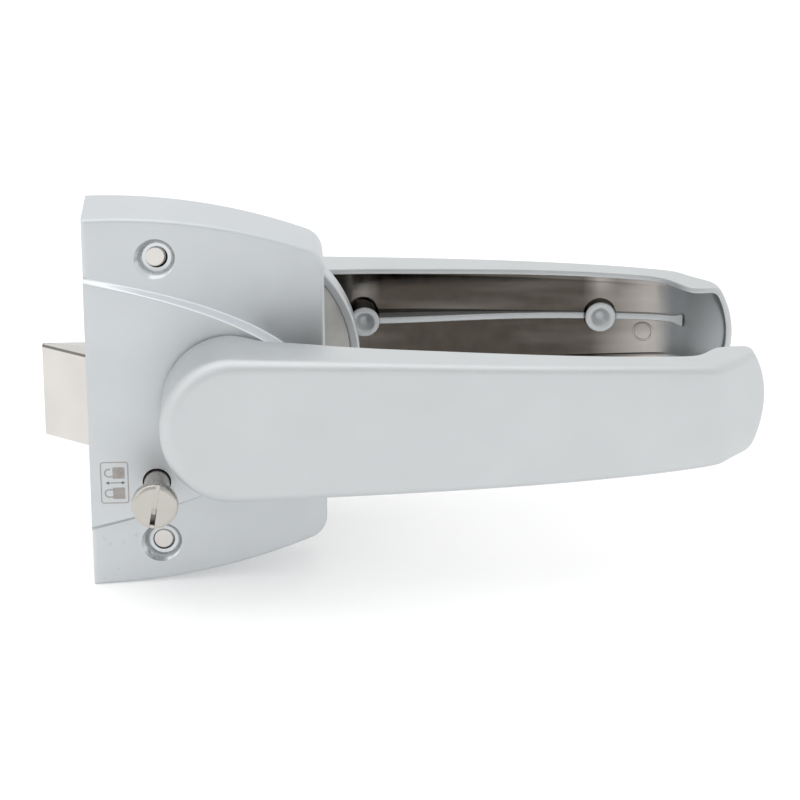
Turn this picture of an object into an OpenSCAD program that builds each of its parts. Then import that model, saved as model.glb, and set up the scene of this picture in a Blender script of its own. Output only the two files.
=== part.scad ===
/* [Case] */
// Distance from the pivot to the latch edge of the case
case_left = 34.7; // [33:0.1:37]
// Distance from the pivot to the hinge edge of the case
case_right = 22.7; // [21:0.1:26]
// Half of the height of the case at its latch edge
case_half_h = 46.1; // [44.5:0.1:50]
// Radius of the arched top and bottom edges
arch_r = 145; // [120:1:200]
// Radius of the two rounded corners
corner_r = 6; // [3:0.5:8]
// Depth of the case at its latch edge
case_d = 24; // [23.5:0.1:27]
// Fall of the front face towards the hinge edge, in degrees
face_slope = 5.15; // [3:0.05:6]
// Wall thickness of the case
case_wall = 2.6; // [2:0.1:3.2]
// Thickness of the back plate
plate_t = 2; // [1.5:0.1:2.5]
// Step of the raised middle of the front above the latch edge
step_h = 0.8; // [0.4:0.1:1.5]
// Length of the half ellipse that bounds the raised middle
middle_len = 92; // [88:0.5:94]
// Half of the height of that ellipse
middle_half_h = 34.8; // [33:0.1:37]

/* [Fixing studs] */
// Distance of the studs from the pivot, along the case
stud_x = 17.6; // [15:0.1:20]
// Distance of the studs from the top and bottom of the case
stud_edge = 10.3; // [9.5:0.1:12]
// Diameter of a stud
stud_dia = 5.4; // [4:0.1:6]
// Free length of a stud behind the case
stud_free = 8; // [5:0.5:12]
// Diameter of the countersink at the face
sink_dia = 10; // [9:0.1:11]

/* [Latch] */
// Height of the latch bolt
bolt_h = 23; // [20:0.5:24]
// Gap between the inner wall of the front and the latch bolt
bolt_gap = 1.7; // [1.2:0.1:2.2]
// Throw of the latch bolt
bolt_throw = 11.3; // [9:0.1:11.5]
// Thickness of the tip of the bevel
bolt_tip = 2; // [1:0.1:3]
// Distance of the flat side of the bolt from the back of the case
bolt_back = 8.5; // [8:0.1:9.5]

/* [Levers] */
// Distance from the pivot to the tip of a lever
lever_len = 128.5; // [120:1:140]
// Radius of the round hub of a lever
hub_r = 18; // [17:0.1:19]
// Height of a lever at the hub, square to the door
lever_h = 21.8; // [20:0.1:23]
// Wall thickness of a lever
lever_wall = 1.6; // [1.4:0.1:2.4]
// Width across the flats of the square spindle
spindle_w = 8; // [7:0.5:8]
// Angle through which the levers turn down
lever_turn = 40; // [30:1:40]

/* [Knob] */
// Distance of the knob from the pivot, along the case
knob_x = 18.6; // [17:0.1:20]
// Distance of the knob below the pivot
knob_z = 19.4; // [19:0.1:21]
// Diameter of the knob head
knob_dia = 10.8; // [9.5:0.1:12]
// Thickness of the knob head
knob_t = 3; // [2:0.1:4]
// Diameter of the knob stem
stem_dia = 6.2; // [5:0.1:6.4]
// Height of the pushed knob above the face
knob_rest = 10.2; // [8:0.1:12]
// Travel of the knob
knob_travel = 8; // [6:0.5:8]

/* [Outer rosette] */
// Thickness of the door
door_t = 12.2; // [10:0.1:14]
// Radius of the rosette
rosette_r = 32.1; // [31:0.1:34]
// Depth of the rosette
rosette_d = 13.8; // [12:0.1:16]
// Wall thickness of the rosette
rosette_wall = 2.3; // [1.8:0.1:2.8]

/* [Hidden] */
$fn = 48;

// Clearances: a seat of two fixed pieces, a running fit and the free gap of moving pieces
seat_gap = 0.1;
run_gap = 0.06;
free_gap = 0.4;
cut = 0.5;

// Places along the depth: the door side of the case is at 0 and the room side is negative
face_y = -case_d - step_h;
wall_y = face_y + case_wall;
hub_y = face_y - 1;
lever_y = hub_y - lever_h;
mirror_y = (hub_y + door_t + rosette_d + 1) / 2;
plate_back = -0.2;
plate_y = plate_back - plate_t;

// Case details
apex_x = -case_left + 2.7;
middle_x = case_right - 0.7 - middle_len;
stud_z = case_half_h - stud_edge;
seat_in = case_wall / 2;
boss_r = 5;
sink_y = slope_y(-stud_x);
sink_deep = 2.2;
pivot_boss_r = 13.4;
screw_r = 1.5;
screw_head_r = 2.8;
screw_len = 9;
screw_places = [
    [-case_left + 8, case_half_h - 8], [case_right - 8, case_half_h - 17],
    [-case_left + 8, -case_half_h + 8], [case_right - 8, -case_half_h + 17]
];

// Latch, follower and spring details
bolt_y1 = -bolt_back;
bolt_y0 = wall_y + bolt_gap;
bolt_t = bolt_y1 - bolt_y0;
bevel_run = 1.16;
guide_t = 3;
guide_gap = 0.3;
tail_pin_x = [-6, -2.5];
tail_pin_z = 5.5;
tail_pin_r = 1.2;
bolt_tip_x = -case_left - bolt_throw;
follower_r = 9;
follower_y0 = wall_y + 2.7;
follower_y1 = plate_y - free_gap;
journal_r = 7.5;
bolt_end_x = -follower_r - 0.5 - bolt_throw;
arm_r = bolt_throw / sin(lever_turn);
pin_r = 2;
tail_t = 2.5;
tail_y0 = bolt_y1 - 4.1;
tail_y1 = tail_y0 + tail_t;
arm_y1 = tail_y0 - 0.6;
arm_y0 = arm_y1 - 3.6;
tail_x1 = 6.5;
tail_z0 = follower_r + 1.4;
tail_z1 = arm_r + 5.5;
slot_half = pin_r + 0.7;
spring_r = 3;
spring_wire = 1.1;
channel_half = 4;
spring_z = -6.6;
spring_y = (bolt_y0 + bolt_y1) / 2;
channel_x0 = bolt_tip_x + 11.5;
lug_x = -follower_r - 4.5;
lug_t = 2;
return_r = 10.6;
return_wire = 1.5;
return_y0 = bolt_y1 + 1.3;
return_turns = 2.5;

// Bush and spigot that carry each lever
spigot_r = 10;
bush_t = 1;
bush_flange_r = 12.8;
spigot_len = case_wall + 1.2;

// Knob details
stem_r = stem_dia / 2;
knob_face_y = face_y - knob_rest - knob_travel;
clip_room = 1.6;
dog_gap = 1.8;
knob_hole_r = stem_r + 0.3;
knob_bush_r = stem_r + 1.4;
dog_r = 4.6;
dog_t = 2.4;
knob_bush_len = 5;
stem_end_y = wall_y + knob_bush_len + dog_gap + dog_t;
ball_r = 1.4;
detent_y = wall_y + knob_bush_len / 2;
detent_x1 = -knob_x + 10.2;

// Rosette details
rosette_y0 = door_t;
rosette_y1 = door_t + rosette_d;
base_t = 3;
sleeve_r = 4;
pillar_r = 4;
through_r = 2;
through_z = 19;
through_head_r = 3.6;
through_head_t = 2.2;

// Lever details
socket_gap = 0.08;
spindle_in = 4;
grub_r = 2.5;
rib_t = 1.8;
lever_boss_r = 4;
near_boss = 34.2;
far_boss = lever_len - 32.2;
lever_cavity_x = 21;
tip_len = 4.5;
facet_len = 12.5;
rim_rise_x = lever_len - 21.5;
hollow_end = lever_len - lever_wall - 0.8;

function ramp(x, x0, x1) = min(1, max(0, (x - x0) / (x1 - x0)));
function smooth(t) = t * t * (3 - 2 * t);
function mix(a, b, t) = a + (b - a) * t;

// A round bar along each axis
module bar_y(x, z, y0, y1, r) {
    translate([x, y0, z]) rotate([-90, 0, 0]) cylinder(h = y1 - y0, r = r);
}
module bar_x(y, z, x0, x1, r) {
    translate([x0, y, z]) rotate([0, 90, 0]) cylinder(h = x1 - x0, r = r);
}
module bar_z(x, y, z0, z1, r) {
    translate([x, y, z0]) cylinder(h = z1 - z0, r = r);
}
module cone_y(x, z, y0, y1, r0, r1) {
    translate([x, y0, z]) rotate([-90, 0, 0]) cylinder(h = y1 - y0, r1 = r0, r2 = r1);
}
module block(x0, x1, y0, y1, z0, z1) {
    translate([x0, y0, z0]) cube([x1 - x0, y1 - y0, z1 - z0]);
}

// An outline of x and z, given depth from y0 to y1
module plate(y0, y1) {
    translate([0, y1, 0]) rotate([90, 0, 0]) linear_extrude(y1 - y0) children();
}

// Upper half of the case outline, set in by a wall: the arch, then the rounded corner
function corner_c(inset) = let(
        r = max(corner_r - inset, 0.5),
        x = case_right - inset - r,
        zc = case_half_h - arch_r,
        reach = arch_r - inset - r
    ) [x, zc + sqrt(reach * reach - (x - apex_x) * (x - apex_x)), r];
function upper_edge(inset) = let(
        c = corner_c(inset),
        zc = case_half_h - arch_r,
        turn = atan2(c[1] - zc, c[0] - apex_x),
        start = acos((-case_left + inset - apex_x) / (arch_r - inset))
    ) concat(
        [for (i = [0:14]) let(a = mix(start, turn, i / 14))
            [apex_x + (arch_r - inset) * cos(a), zc + (arch_r - inset) * sin(a)]],
        [for (i = [1:6]) let(a = mix(turn, 0, i / 6)) [c[0] + c[2] * cos(a), c[1] + c[2] * sin(a)]]
    );
module case_outline(inset) {
    top = upper_edge(inset);
    last = len(top) - 1;
    polygon(concat(top, [for (i = [last:-1:0]) [top[i][0], -top[i][1]]]));
}

// Depth of the sloping front at x, and the wedge behind it, set back by a wall
function slope_y(x) = -case_d + (x + case_left) * tan(face_slope);
module behind_face(back) {
    reach = case_half_h * 2;
    run = case_left + case_right + 20;
    translate([-case_left - 10, 0, -reach / 2]) linear_extrude(reach)
        polygon([
            [0, 1], [0, -case_d + back - 10 * tan(face_slope)],
            [run, -case_d + back + (run - 10) * tan(face_slope)], [run, 1]
        ]);
}
module middle_outline(inset) {
    steps = 28;
    polygon([for (i = [0:steps]) let(a = mix(-90, 90, i / steps))
        [middle_x + (middle_len - inset) * cos(a), (middle_half_h - inset) * sin(a)]]);
}

module lock_case() {
    color([0.79, 0.81, 0.82]) difference() {
        union() {
            difference() {
                union() {
                    intersection() {
                        plate(-case_d - 9, 0) case_outline(0);
                        behind_face(0);
                    }
                    plate(face_y, -case_wall * 3) intersection() {
                        middle_outline(0);
                        case_outline(0);
                    }
                }
                plate(wall_y, plate_y) intersection() {
                    middle_outline(case_wall);
                    case_outline(case_wall);
                }
                intersection() {
                    plate(-case_d - 9, plate_y) case_outline(case_wall);
                    behind_face(case_wall);
                }
                plate(plate_y - seat_gap, cut) case_outline(seat_in);
            }
            bar_y(0, 0, wall_y - 0.4, wall_y + 1.6, pivot_boss_r);
            bar_y(-knob_x, -knob_z, wall_y - 0.4, wall_y + knob_bush_len, knob_bush_r + 1.6);
            block(
                -knob_x, detent_x1, wall_y - 0.4, wall_y + knob_bush_len, -knob_z - 2.4, -knob_z + 2.4
            );
            for (side = [-1, 1])
                bar_y(-stud_x, side * stud_z, sink_y + case_wall, plate_y - seat_gap, boss_r);
            for (p = screw_places)
                bar_y(p[0], p[1], plate_y - screw_len, plate_y - seat_gap, screw_head_r);
        }
        bar_y(0, 0, face_y - cut, wall_y + 3, spigot_r + run_gap + bush_t + seat_gap);
        bar_y(-knob_x, -knob_z, face_y - cut, wall_y, knob_hole_r);
        bar_y(-knob_x, -knob_z, wall_y, wall_y + knob_bush_len + cut, knob_bush_r + seat_gap / 2);
        bar_x(detent_y, -knob_z, -knob_x + stem_r, detent_x1 + cut, ball_r + 0.1);
        for (side = [-1, 1]) {
            bar_y(-stud_x, side * stud_z, -case_d - 2, cut, stud_dia / 2 + seat_gap / 2);
            cone_y(
                -stud_x, side * stud_z, sink_y - 1, sink_y + sink_deep,
                sink_dia / 2 + 1, sink_dia / 2 - sink_deep
            );
        }
        for (p = screw_places)
            bar_y(p[0], p[1], plate_y - screw_len + 1, 0, screw_r + seat_gap / 2);
        block(
            -case_left - cut, -case_left + case_wall + cut,
            bolt_y0 - free_gap, bolt_y1 + free_gap, -bolt_h / 2 - free_gap, bolt_h / 2 + free_gap
        );
    }
}

module back_plate() {
    color([0.62, 0.64, 0.66]) union() {
        difference() {
            plate(plate_y, plate_back) case_outline(seat_in + seat_gap);
            bar_y(0, 0, plate_y - cut, cut, journal_r + run_gap);
            for (side = [-1, 1]) {
                bar_y(-stud_x, side * stud_z, plate_y - cut, cut, stud_dia / 2 + seat_gap);
                bar_y(0, side * through_z, plate_y - cut, cut, through_r + seat_gap);
            }
            for (p = screw_places) {
                bar_y(p[0], p[1], plate_y - cut, cut, screw_r + seat_gap);
                cone_y(p[0], p[1], plate_back - 1.3, plate_back + 0.1, screw_r, screw_head_r + 0.1);
            }
        }
        block(lug_x, lug_x + lug_t, spring_y - 3.2, plate_y, spring_z - 3.2, spring_z + 3.2);
        bar_x(spring_y, spring_z, lug_x - 2, lug_x, spring_r - spring_wire);
    }
}

module case_screws() {
    color([0.75, 0.76, 0.78]) for (p = screw_places) {
        bar_y(p[0], p[1], plate_y - screw_len + 2, plate_back - 0.2, screw_r);
        cone_y(p[0], p[1], plate_back - 1.2, plate_back - 0.1, screw_r, screw_head_r - 0.1);
    }
}

// A plain rod, its room side end standing in the countersink, with a thinner free end past a shoulder
module fixing_stud(side) {
    top_y = sink_y + 2.3;
    r = stud_dia / 2;
    free_r = r - 0.2;
    color([0.85, 0.86, 0.87]) union() {
        cone_y(-stud_x, side * stud_z, top_y, top_y + 0.5, r - 0.5, r);
        bar_y(-stud_x, side * stud_z, top_y + 0.5, plate_back, r);
        bar_y(-stud_x, side * stud_z, plate_back, stud_free - 0.6, free_r);
        cone_y(-stud_x, side * stud_z, stud_free - 0.6, stud_free, free_r, free_r - 0.6);
    }
}
module fixing_stud_upper() { fixing_stud(1); }
module fixing_stud_lower() { fixing_stud(-1); }

// A lining behind the opening that the latch bolt slides in
module bolt_guide() {
    x0 = -case_left + case_wall;
    x1 = x0 + guide_t;
    open_z = bolt_h / 2 + guide_gap;
    rim = bolt_gap - 0.4;
    color([0.30, 0.31, 0.33]) difference() {
        block(x0, x1, bolt_y0 - rim, bolt_y1 + rim, -open_z - 2, open_z + 2);
        block(x0 - cut, x1 + cut, bolt_y0 - guide_gap, bolt_y1 + guide_gap, -open_z, open_z);
    }
}

// A wire along points, given as a closed solid with flat ends
module wire(points, r, sides) {
    n = len(points);
    function unit(v) = v / norm(v);
    function along(i) = unit(points[min(i + 1, n - 1)] - points[max(i - 1, 0)]);
    rings = [for (i = [0:n - 1]) let(
            t = along(i),
            u = unit(cross(t, abs(t[1]) < 0.9 ? [0, 1, 0] : [0, 0, 1])),
            v = cross(t, u)
        ) for (k = [0:sides - 1]) points[i] + r * (u * cos(k * 360 / sides) + v * sin(k * 360 / sides))];
    sides_list = [for (i = [0:n - 2], k = [0:sides - 1]) let(
            a = i * sides + k,
            b = i * sides + (k + 1) % sides
        ) each [[a, b, a + sides], [b, b + sides, a + sides]]];
    start = [[for (k = [sides - 1:-1:0]) k]];
    end = [[for (k = [0:sides - 1]) (n - 1) * sides + k]];
    polyhedron(rings, concat(start, sides_list, end), convexity = 8);
}

module latch_spring() {
    x0 = channel_x0 + spring_wire / 2 + 0.3;
    x1 = lug_x - spring_wire / 2 - 0.1;
    turns = 7;
    steps = 14;
    coil = [for (i = [0:turns * steps]) let(a = i * 360 / steps)
        [mix(x0, x1, i / turns / steps), spring_y + spring_r * cos(a), spring_z + spring_r * sin(a)]];
    color([0.55, 0.56, 0.58]) wire(coil, spring_wire / 2, 6);
}

module lever_return_spring() {
    steps = 20;
    turns = return_turns;
    pitch = return_wire + 0.2;
    coil = [for (i = [0:turns * steps]) let(a = 150 + i * 360 / steps)
        [return_r * cos(a), return_y0 + pitch * i / steps, return_r * sin(a)]];
    lead = [return_r * cos(150) - 3.2, return_y0, return_r * sin(150) - 3];
    color([0.50, 0.51, 0.53]) wire(concat([lead], coil), return_wire / 2, 6);
}

// The fixed pin that the return spring bears on
module spring_post() {
    color([0.70, 0.71, 0.73]) bar_y(-return_r - 3.6, 0.6, return_y0 - 0.4, plate_y, 1.5);
}

// A flanged bush for a lever spigot, drawn for the room side
module lever_bush() {
    r = spigot_r + run_gap;
    difference() {
        union() {
            bar_y(0, 0, face_y - 0.7, face_y, bush_flange_r);
            bar_y(0, 0, face_y, wall_y + 0.8, r + bush_t);
        }
        bar_y(0, 0, face_y - 2, wall_y + 2, r);
    }
}
module to_outer_side() {
    translate([0, 2 * mirror_y, 0]) mirror([0, 1, 0]) children();
}
module inner_lever_bush() { color([0.20, 0.20, 0.21]) lever_bush(); }
module outer_lever_bush() { color([0.20, 0.20, 0.21]) to_outer_side() lever_bush(); }

module knob_bush() {
    color([0.20, 0.20, 0.21]) difference() {
        bar_y(-knob_x, -knob_z, wall_y, wall_y + knob_bush_len, knob_bush_r);
        bar_y(-knob_x, -knob_z, wall_y - cut, wall_y + knob_bush_len + cut, stem_r + run_gap);
        bar_x(detent_y, -knob_z, -knob_x, -knob_x + 9, ball_r + 0.1);
    }
}
module detent_ball() {
    color([0.80, 0.81, 0.83])
        translate([-knob_x + stem_r + run_gap + ball_r, detent_y, -knob_z]) sphere(r = ball_r);
}
module detent_spring() {
    x0 = -knob_x + stem_r + 2 * ball_r + 0.5;
    coil = 0.9;
    steps = 10;
    turns = 3;
    color([0.55, 0.56, 0.58]) wire([for (i = [0:turns * steps]) let(a = i * 360 / steps)
        [x0 + 1.6 * i / steps / turns, detent_y + coil * cos(a), -knob_z + coil * sin(a)]], 0.22, 5);
}
module detent_plug() {
    x0 = -knob_x + stem_r + 2 * ball_r + 2.5;
    color([0.60, 0.61, 0.63]) bar_x(detent_y, -knob_z, x0, x0 + 1.5, ball_r + 0.02);
}

// The round cover on the far side of the door: a turned cup with a domed edge
module outer_rosette() {
    color([0.78, 0.80, 0.81]) translate([0, rosette_y0, 0]) rotate([-90, 0, 0]) difference() {
        rotate_extrude($fn = 96) polygon([
            [rosette_r - rosette_wall, 0], [rosette_r, 0], [rosette_r, rosette_d - 5],
            [rosette_r - 1.5, rosette_d - 2], [rosette_r - 5, rosette_d],
            [spigot_r + run_gap + bush_t + seat_gap, rosette_d],
            [spigot_r + run_gap + bush_t + seat_gap, rosette_d - rosette_wall],
            [rosette_r - 6, rosette_d - rosette_wall],
            [rosette_r - rosette_wall, rosette_d - 5.5]
        ]);
    }
}

// The plate behind the cover, with a tower round the spindle and two threaded pillars
module rosette_base() {
    y0 = rosette_y0 + 0.6;
    top = rosette_y1 - rosette_wall - seat_gap;
    tower = 2 * mirror_y - hub_y - spigot_len - 1;
    color([0.60, 0.60, 0.58]) difference() {
        union() {
            bar_y(0, 0, y0, y0 + base_t, rosette_r - rosette_wall - seat_gap);
            bar_y(0, 0, y0, tower, journal_r + 1.5);
            for (side = [-1, 1]) bar_y(0, side * through_z, y0, top, pillar_r);
        }
        bar_y(0, 0, y0 - cut, top + cut, spindle_w / sqrt(2) + 0.5);
        for (side = [-1, 1]) bar_y(0, side * through_z, y0 - cut, top - 2, through_r + seat_gap / 2);
    }
}

module through_screws() {
    head_y = plate_y - 0.1 - through_head_t;
    color([0.72, 0.73, 0.75]) for (side = [-1, 1]) {
        bar_y(0, side * through_z, plate_y - 0.1, rosette_y1 - rosette_wall - 4, through_r);
        difference() {
            bar_y(0, side * through_z, head_y, plate_y - 0.1, through_head_r);
            block(
                -through_head_r - cut, through_head_r + cut, head_y - cut, head_y + 0.9,
                side * through_z - 0.5, side * through_z + 0.5
            );
        }
    }
}
module through_sleeves() {
    color([0.25, 0.25, 0.26]) for (side = [-1, 1]) difference() {
        bar_y(0, side * through_z, plate_back + 0.1, rosette_y0 + 0.5, sleeve_r);
        bar_y(0, side * through_z, -cut, rosette_y0 + 1, through_r + seat_gap);
    }
}

// The lever along x: half width, outer face, open rim and the radius of the outer edge
function bulge(x) = x < 0 ? sqrt(max(0, hub_r * hub_r - x * x)) : hub_r;
function tip_round(x) = let(u = ramp(x, lever_len - tip_len, lever_len)) sqrt(max(0, 1 - u * u));
function half_width(x) = x < 0 ? bulge(x)
    : mix(7 + 5.3 * tip_round(x), hub_r, pow(1 - ramp(x, 0, lever_len * 0.92), 1.1));
function outer_y(x) = let(end = lever_len - facet_len)
    lever_y + 5.3 * pow(ramp(x, 50, end), 2.15) + (x > end ? (x - end) * 1.27 : 0);
function rim_y(x) = hub_y
    - 8 * smooth(ramp(x, 11, 25)) - 3.4 * ramp(x, 25, 70)
    + 12.4 * smooth(ramp(x, rim_rise_x, rim_rise_x + 11.5));
function edge_r(x) = min(mix(4.2, 3, ramp(x, 0, 40)), half_width(x) * 0.45, (rim_y(x) - outer_y(x)) * 0.35);

lever_stations = concat(
    [for (i = [1:8]) -hub_r * cos(i * 90 / 8)],
    [6, 11, 14, 17, 20, 25],
    [for (i = [0:10]) mix(30, rim_rise_x - 2, i / 10)],
    [for (i = [0:7]) rim_rise_x + i * 11.5 / 7],
    [lever_len - 8],
    [for (u = [0, 0.25, 0.45, 0.62, 0.77, 0.9, 1]) lever_len - tip_len * (1 - u)]
);
hollow_stations = concat(
    [lever_cavity_x],
    [for (x = lever_stations) if (x > lever_cavity_x + 1 && x < hollow_end - 0.5) x],
    [hollow_end]
);
function floor_y(x) = let(slope = (outer_y(x + 0.5) - outer_y(x - 0.5)))
    outer_y(x) + lever_wall * sqrt(1 + slope * slope);

// One ring round the outside of the lever, and one round its hollow, open past the rim
function outer_ring(x) = let(
        w = half_width(x),
        yo = outer_y(x),
        r = edge_r(x)
    ) concat(
        [[x, rim_y(x), w]],
        [for (k = [0:4]) let(a = k * 90 / 4) [x, yo + r - r * sin(a), w - r + r * cos(a)]],
        [[x, yo - 0.4, 0]],
        [for (k = [4:-1:0]) let(a = k * 90 / 4) [x, yo + r - r * sin(a), -w + r - r * cos(a)]],
        [[x, rim_y(x), -w]]
    );
function hollow_ring(x) = let(
        w = half_width(x) - lever_wall,
        yi = floor_y(x),
        r = min(1.6, (rim_y(x) - yi) * 0.6)
    ) concat(
        [[x, rim_y(x) + 1, w]],
        [for (k = [0:2]) let(a = k * 45) [x, yi + r - r * sin(a), w - r + r * cos(a)]],
        [for (k = [2:-1:0]) let(a = k * 45) [x, yi + r - r * sin(a), -w + r - r * cos(a)]],
        [[x, rim_y(x) + 1, -w]]
    );

// A solid through a row of rings with the same number of points
module loft(rings) {
    n = len(rings[0]);
    last = len(rings) - 1;
    points = [for (ring = rings) each ring];
    skin = [for (i = [0:last - 1], k = [0:n - 1]) let(a = i * n + k, b = i * n + (k + 1) % n)
        each [[a, a + n, b], [b, a + n, b + n]]];
    polyhedron(points, concat(
        [[for (k = [0:n - 1]) k]], skin, [[for (k = [n - 1:-1:0]) last * n + k]]
    ), convexity = 6);
}
module lever_shell() {
    difference() {
        loft([for (x = lever_stations) outer_ring(x)]);
        loft([for (x = hollow_stations) hollow_ring(x)]);
    }
}

// Two pins with conical recesses, and the rib that joins them, stand on the floor of the hollow
module lever_boss(x, h) {
    y0 = floor_y(x);
    difference() {
        bar_y(x, 0, y0 - 1, y0 + h, lever_boss_r);
        cone_y(x, 0, y0 + h - 2, y0 + h + 0.01, 1, 2.25);
    }
}
function rib_height(x) = mix(4.4, 0.9, smooth(ramp(x, near_boss, far_boss - 8)));
module lever_rib() {
    x0 = lever_cavity_x - 1;
    x1 = lever_len - 11;
    steps = 32;
    low = [for (i = [0:steps]) let(x = mix(x0, x1, i / steps)) [x, outer_y(x) + lever_wall / 2]];
    high = [for (i = [steps:-1:0]) let(x = mix(x0, x1, i / steps)) [x, floor_y(x) + rib_height(x)]];
    translate([0, 0, -rib_t / 2]) linear_extrude(rib_t) polygon(concat(low, high));
}
module lever() {
    socket = spindle_w + 2 * socket_gap;
    difference() {
        union() {
            lever_shell();
            lever_rib();
            lever_boss(near_boss, 5.4);
            lever_boss(far_boss, 2.4);
            bar_y(0, 0, hub_y - 1, hub_y + spigot_len, spigot_r);
        }
        block(
            -socket / 2, socket / 2, lever_y + spindle_in, hub_y + spigot_len + cut,
            -socket / 2, socket / 2
        );
        bar_z(0, hub_y - 8, -hub_r - 1, 0, grub_r + 0.04);
    }
}
module inner_lever() { color([0.79, 0.81, 0.82]) lever(); }
module outer_lever() { color([0.74, 0.76, 0.77]) to_outer_side() lever(); }

module spindle() {
    y0 = lever_y + spindle_in + 0.3;
    color([0.66, 0.67, 0.69])
        block(-spindle_w / 2, spindle_w / 2, y0, 2 * mirror_y - y0, -spindle_w / 2, spindle_w / 2);
}
module grub_screw() {
    z1 = -spindle_w / 2 - 0.05;
    color([0.28, 0.28, 0.30]) difference() {
        bar_z(0, hub_y - 8, z1 - 9, z1, grub_r);
        bar_z(0, hub_y - 8, z1 - 9.5, z1 - 6.5, 1.25, $fn = 6);
    }
}
module inner_grub_screw() { grub_screw(); }
module outer_grub_screw() { to_outer_side() grub_screw(); }

module follower() {
    socket = spindle_w + 2 * socket_gap;
    color([0.58, 0.59, 0.61]) difference() {
        union() {
            bar_y(0, 0, follower_y0, follower_y1, follower_r);
            bar_y(0, 0, follower_y1, plate_back, journal_r);
            plate(arm_y0, arm_y1) polygon([
                [-5.5, 6], [5.5, 6], [pin_r + 2, arm_r], [pin_r + 1, arm_r + 3],
                [-pin_r - 1, arm_r + 3], [-pin_r - 2, arm_r]
            ]);
        }
        block(-socket / 2, socket / 2, follower_y0 - cut, cut, -socket / 2, socket / 2);
        bar_y(0, arm_r, arm_y0 - cut, arm_y1 + cut, pin_r);
    }
}
module follower_pin() {
    color([0.80, 0.81, 0.82]) bar_y(0, arm_r, arm_y0, tail_y1 + 0.8, pin_r - 0.02);
}

// The bevelled head, with a channel for its spring and a slot for the tail
module latch_bolt() {
    bevel = bolt_t - bolt_tip;
    color([0.88, 0.86, 0.82]) difference() {
        translate([0, 0, -bolt_h / 2]) linear_extrude(bolt_h) polygon([
            [bolt_tip_x, bolt_y1], [bolt_tip_x, bolt_y1 - bolt_tip],
            [bolt_tip_x + bevel * bevel_run, bolt_y0], [bolt_end_x, bolt_y0], [bolt_end_x, bolt_y1]
        ]);
        block(channel_x0, bolt_end_x + cut, spring_y - channel_half, bolt_y1 + cut,
            spring_z - channel_half, spring_z + channel_half);
        block(bolt_end_x - 8, bolt_end_x + cut, tail_y0 - seat_gap, tail_y1 + seat_gap, 0, bolt_h);
        for (x = tail_pin_x)
            bar_y(bolt_end_x + x, tail_pin_z, tail_y0 - 4, bolt_y1 + cut, tail_pin_r);
    }
}
module bolt_tail() {
    x0 = bolt_end_x - 7.8;
    color([0.68, 0.69, 0.71]) difference() {
        plate(tail_y0, tail_y1) polygon([
            [x0, 0.2], [bolt_end_x, 0.2], [bolt_end_x, tail_z0],
            [-slot_half, tail_z0], [-slot_half, tail_z1 - 2.5],
            [slot_half, tail_z1 - 2.5], [slot_half, tail_z0], [tail_x1, tail_z0], [tail_x1, tail_z1],
            [bolt_end_x + 2, tail_z1], [x0, bolt_h / 2 - 0.5]
        ]);
        for (x = tail_pin_x)
            bar_y(bolt_end_x + x, tail_pin_z, tail_y0 - cut, tail_y1 + cut, tail_pin_r);
    }
}
module tail_pins() {
    color([0.80, 0.81, 0.82]) for (x = tail_pin_x)
        bar_y(bolt_end_x + x, tail_pin_z, tail_y0 - 3.9, bolt_y1 - 0.2, tail_pin_r - 0.02);
}

// The knob, drawn as it stands when it is pulled out
module knob_head() {
    r = knob_dia / 2;
    color([0.87, 0.85, 0.82]) difference() {
        union() {
            cone_y(-knob_x, -knob_z, knob_face_y, knob_face_y + 0.5, r - 0.5, r);
            bar_y(-knob_x, -knob_z, knob_face_y + 0.5, knob_face_y + knob_t, r);
        }
        bar_y(-knob_x, -knob_z, knob_face_y + 1.4, knob_face_y + knob_t + cut, stem_r - 0.7);
        translate([-knob_x, 0, -knob_z]) rotate([0, -10, 0])
            block(-0.5, 0.5, knob_face_y - cut, knob_face_y + 1, -knob_dia, knob_dia);
    }
}
module knob_stem() {
    color([0.83, 0.81, 0.78]) difference() {
        union() {
            bar_y(-knob_x, -knob_z, knob_face_y + 1.5, knob_face_y + knob_t, stem_r - 0.75);
            bar_y(-knob_x, -knob_z, knob_face_y + knob_t, stem_end_y - dog_t, stem_r);
            bar_y(-knob_x, -knob_z, stem_end_y - dog_t, stem_end_y + clip_room, stem_r - 1);
        }
        translate([-knob_x, stem_end_y + 0.9, -knob_z]) rotate([-90, 0, 0]) difference() {
            cylinder(h = 0.5, r = stem_r, center = true);
            cylinder(h = 1, r = stem_r - 1.4, center = true);
        }
    }
}
module lock_dog() {
    color([0.58, 0.59, 0.61]) difference() {
        union() {
            bar_y(-knob_x, -knob_z, stem_end_y - dog_t, stem_end_y, dog_r);
            block(
                -knob_x - 2.5, -knob_x + 2.5, stem_end_y - dog_t, stem_end_y,
                -knob_z, -knob_z + dog_r + 1.8
            );
        }
        bar_y(-knob_x, -knob_z, stem_end_y - dog_t - cut, stem_end_y + cut, stem_r - 0.95);
    }
}
module dog_clip() {
    color([0.35, 0.35, 0.37])
        translate([-knob_x, stem_end_y + 0.9, -knob_z]) rotate([-90, 0, 0]) difference() {
            cylinder(h = 0.4, r = stem_r, center = true);
            cylinder(h = 1, r = stem_r - 1.35, center = true);
            translate([0, -stem_r, 0]) cube([1.6, 2 * stem_r, 1], center = true);
        }
}

lock_case();
back_plate();
case_screws();
fixing_stud_upper();
fixing_stud_lower();
bolt_guide();
latch_spring();
lever_return_spring();
spring_post();
inner_lever_bush();
knob_bush();
detent_ball();
detent_spring();
detent_plug();
outer_rosette();
rosette_base();
outer_lever_bush();
through_screws();
through_sleeves();
inner_lever();
outer_lever();
spindle();
follower();
follower_pin();
inner_grub_screw();
outer_grub_screw();
latch_bolt();
bolt_tail();
tail_pins();
knob_head();
knob_stem();
lock_dog();
dog_clip();
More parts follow.
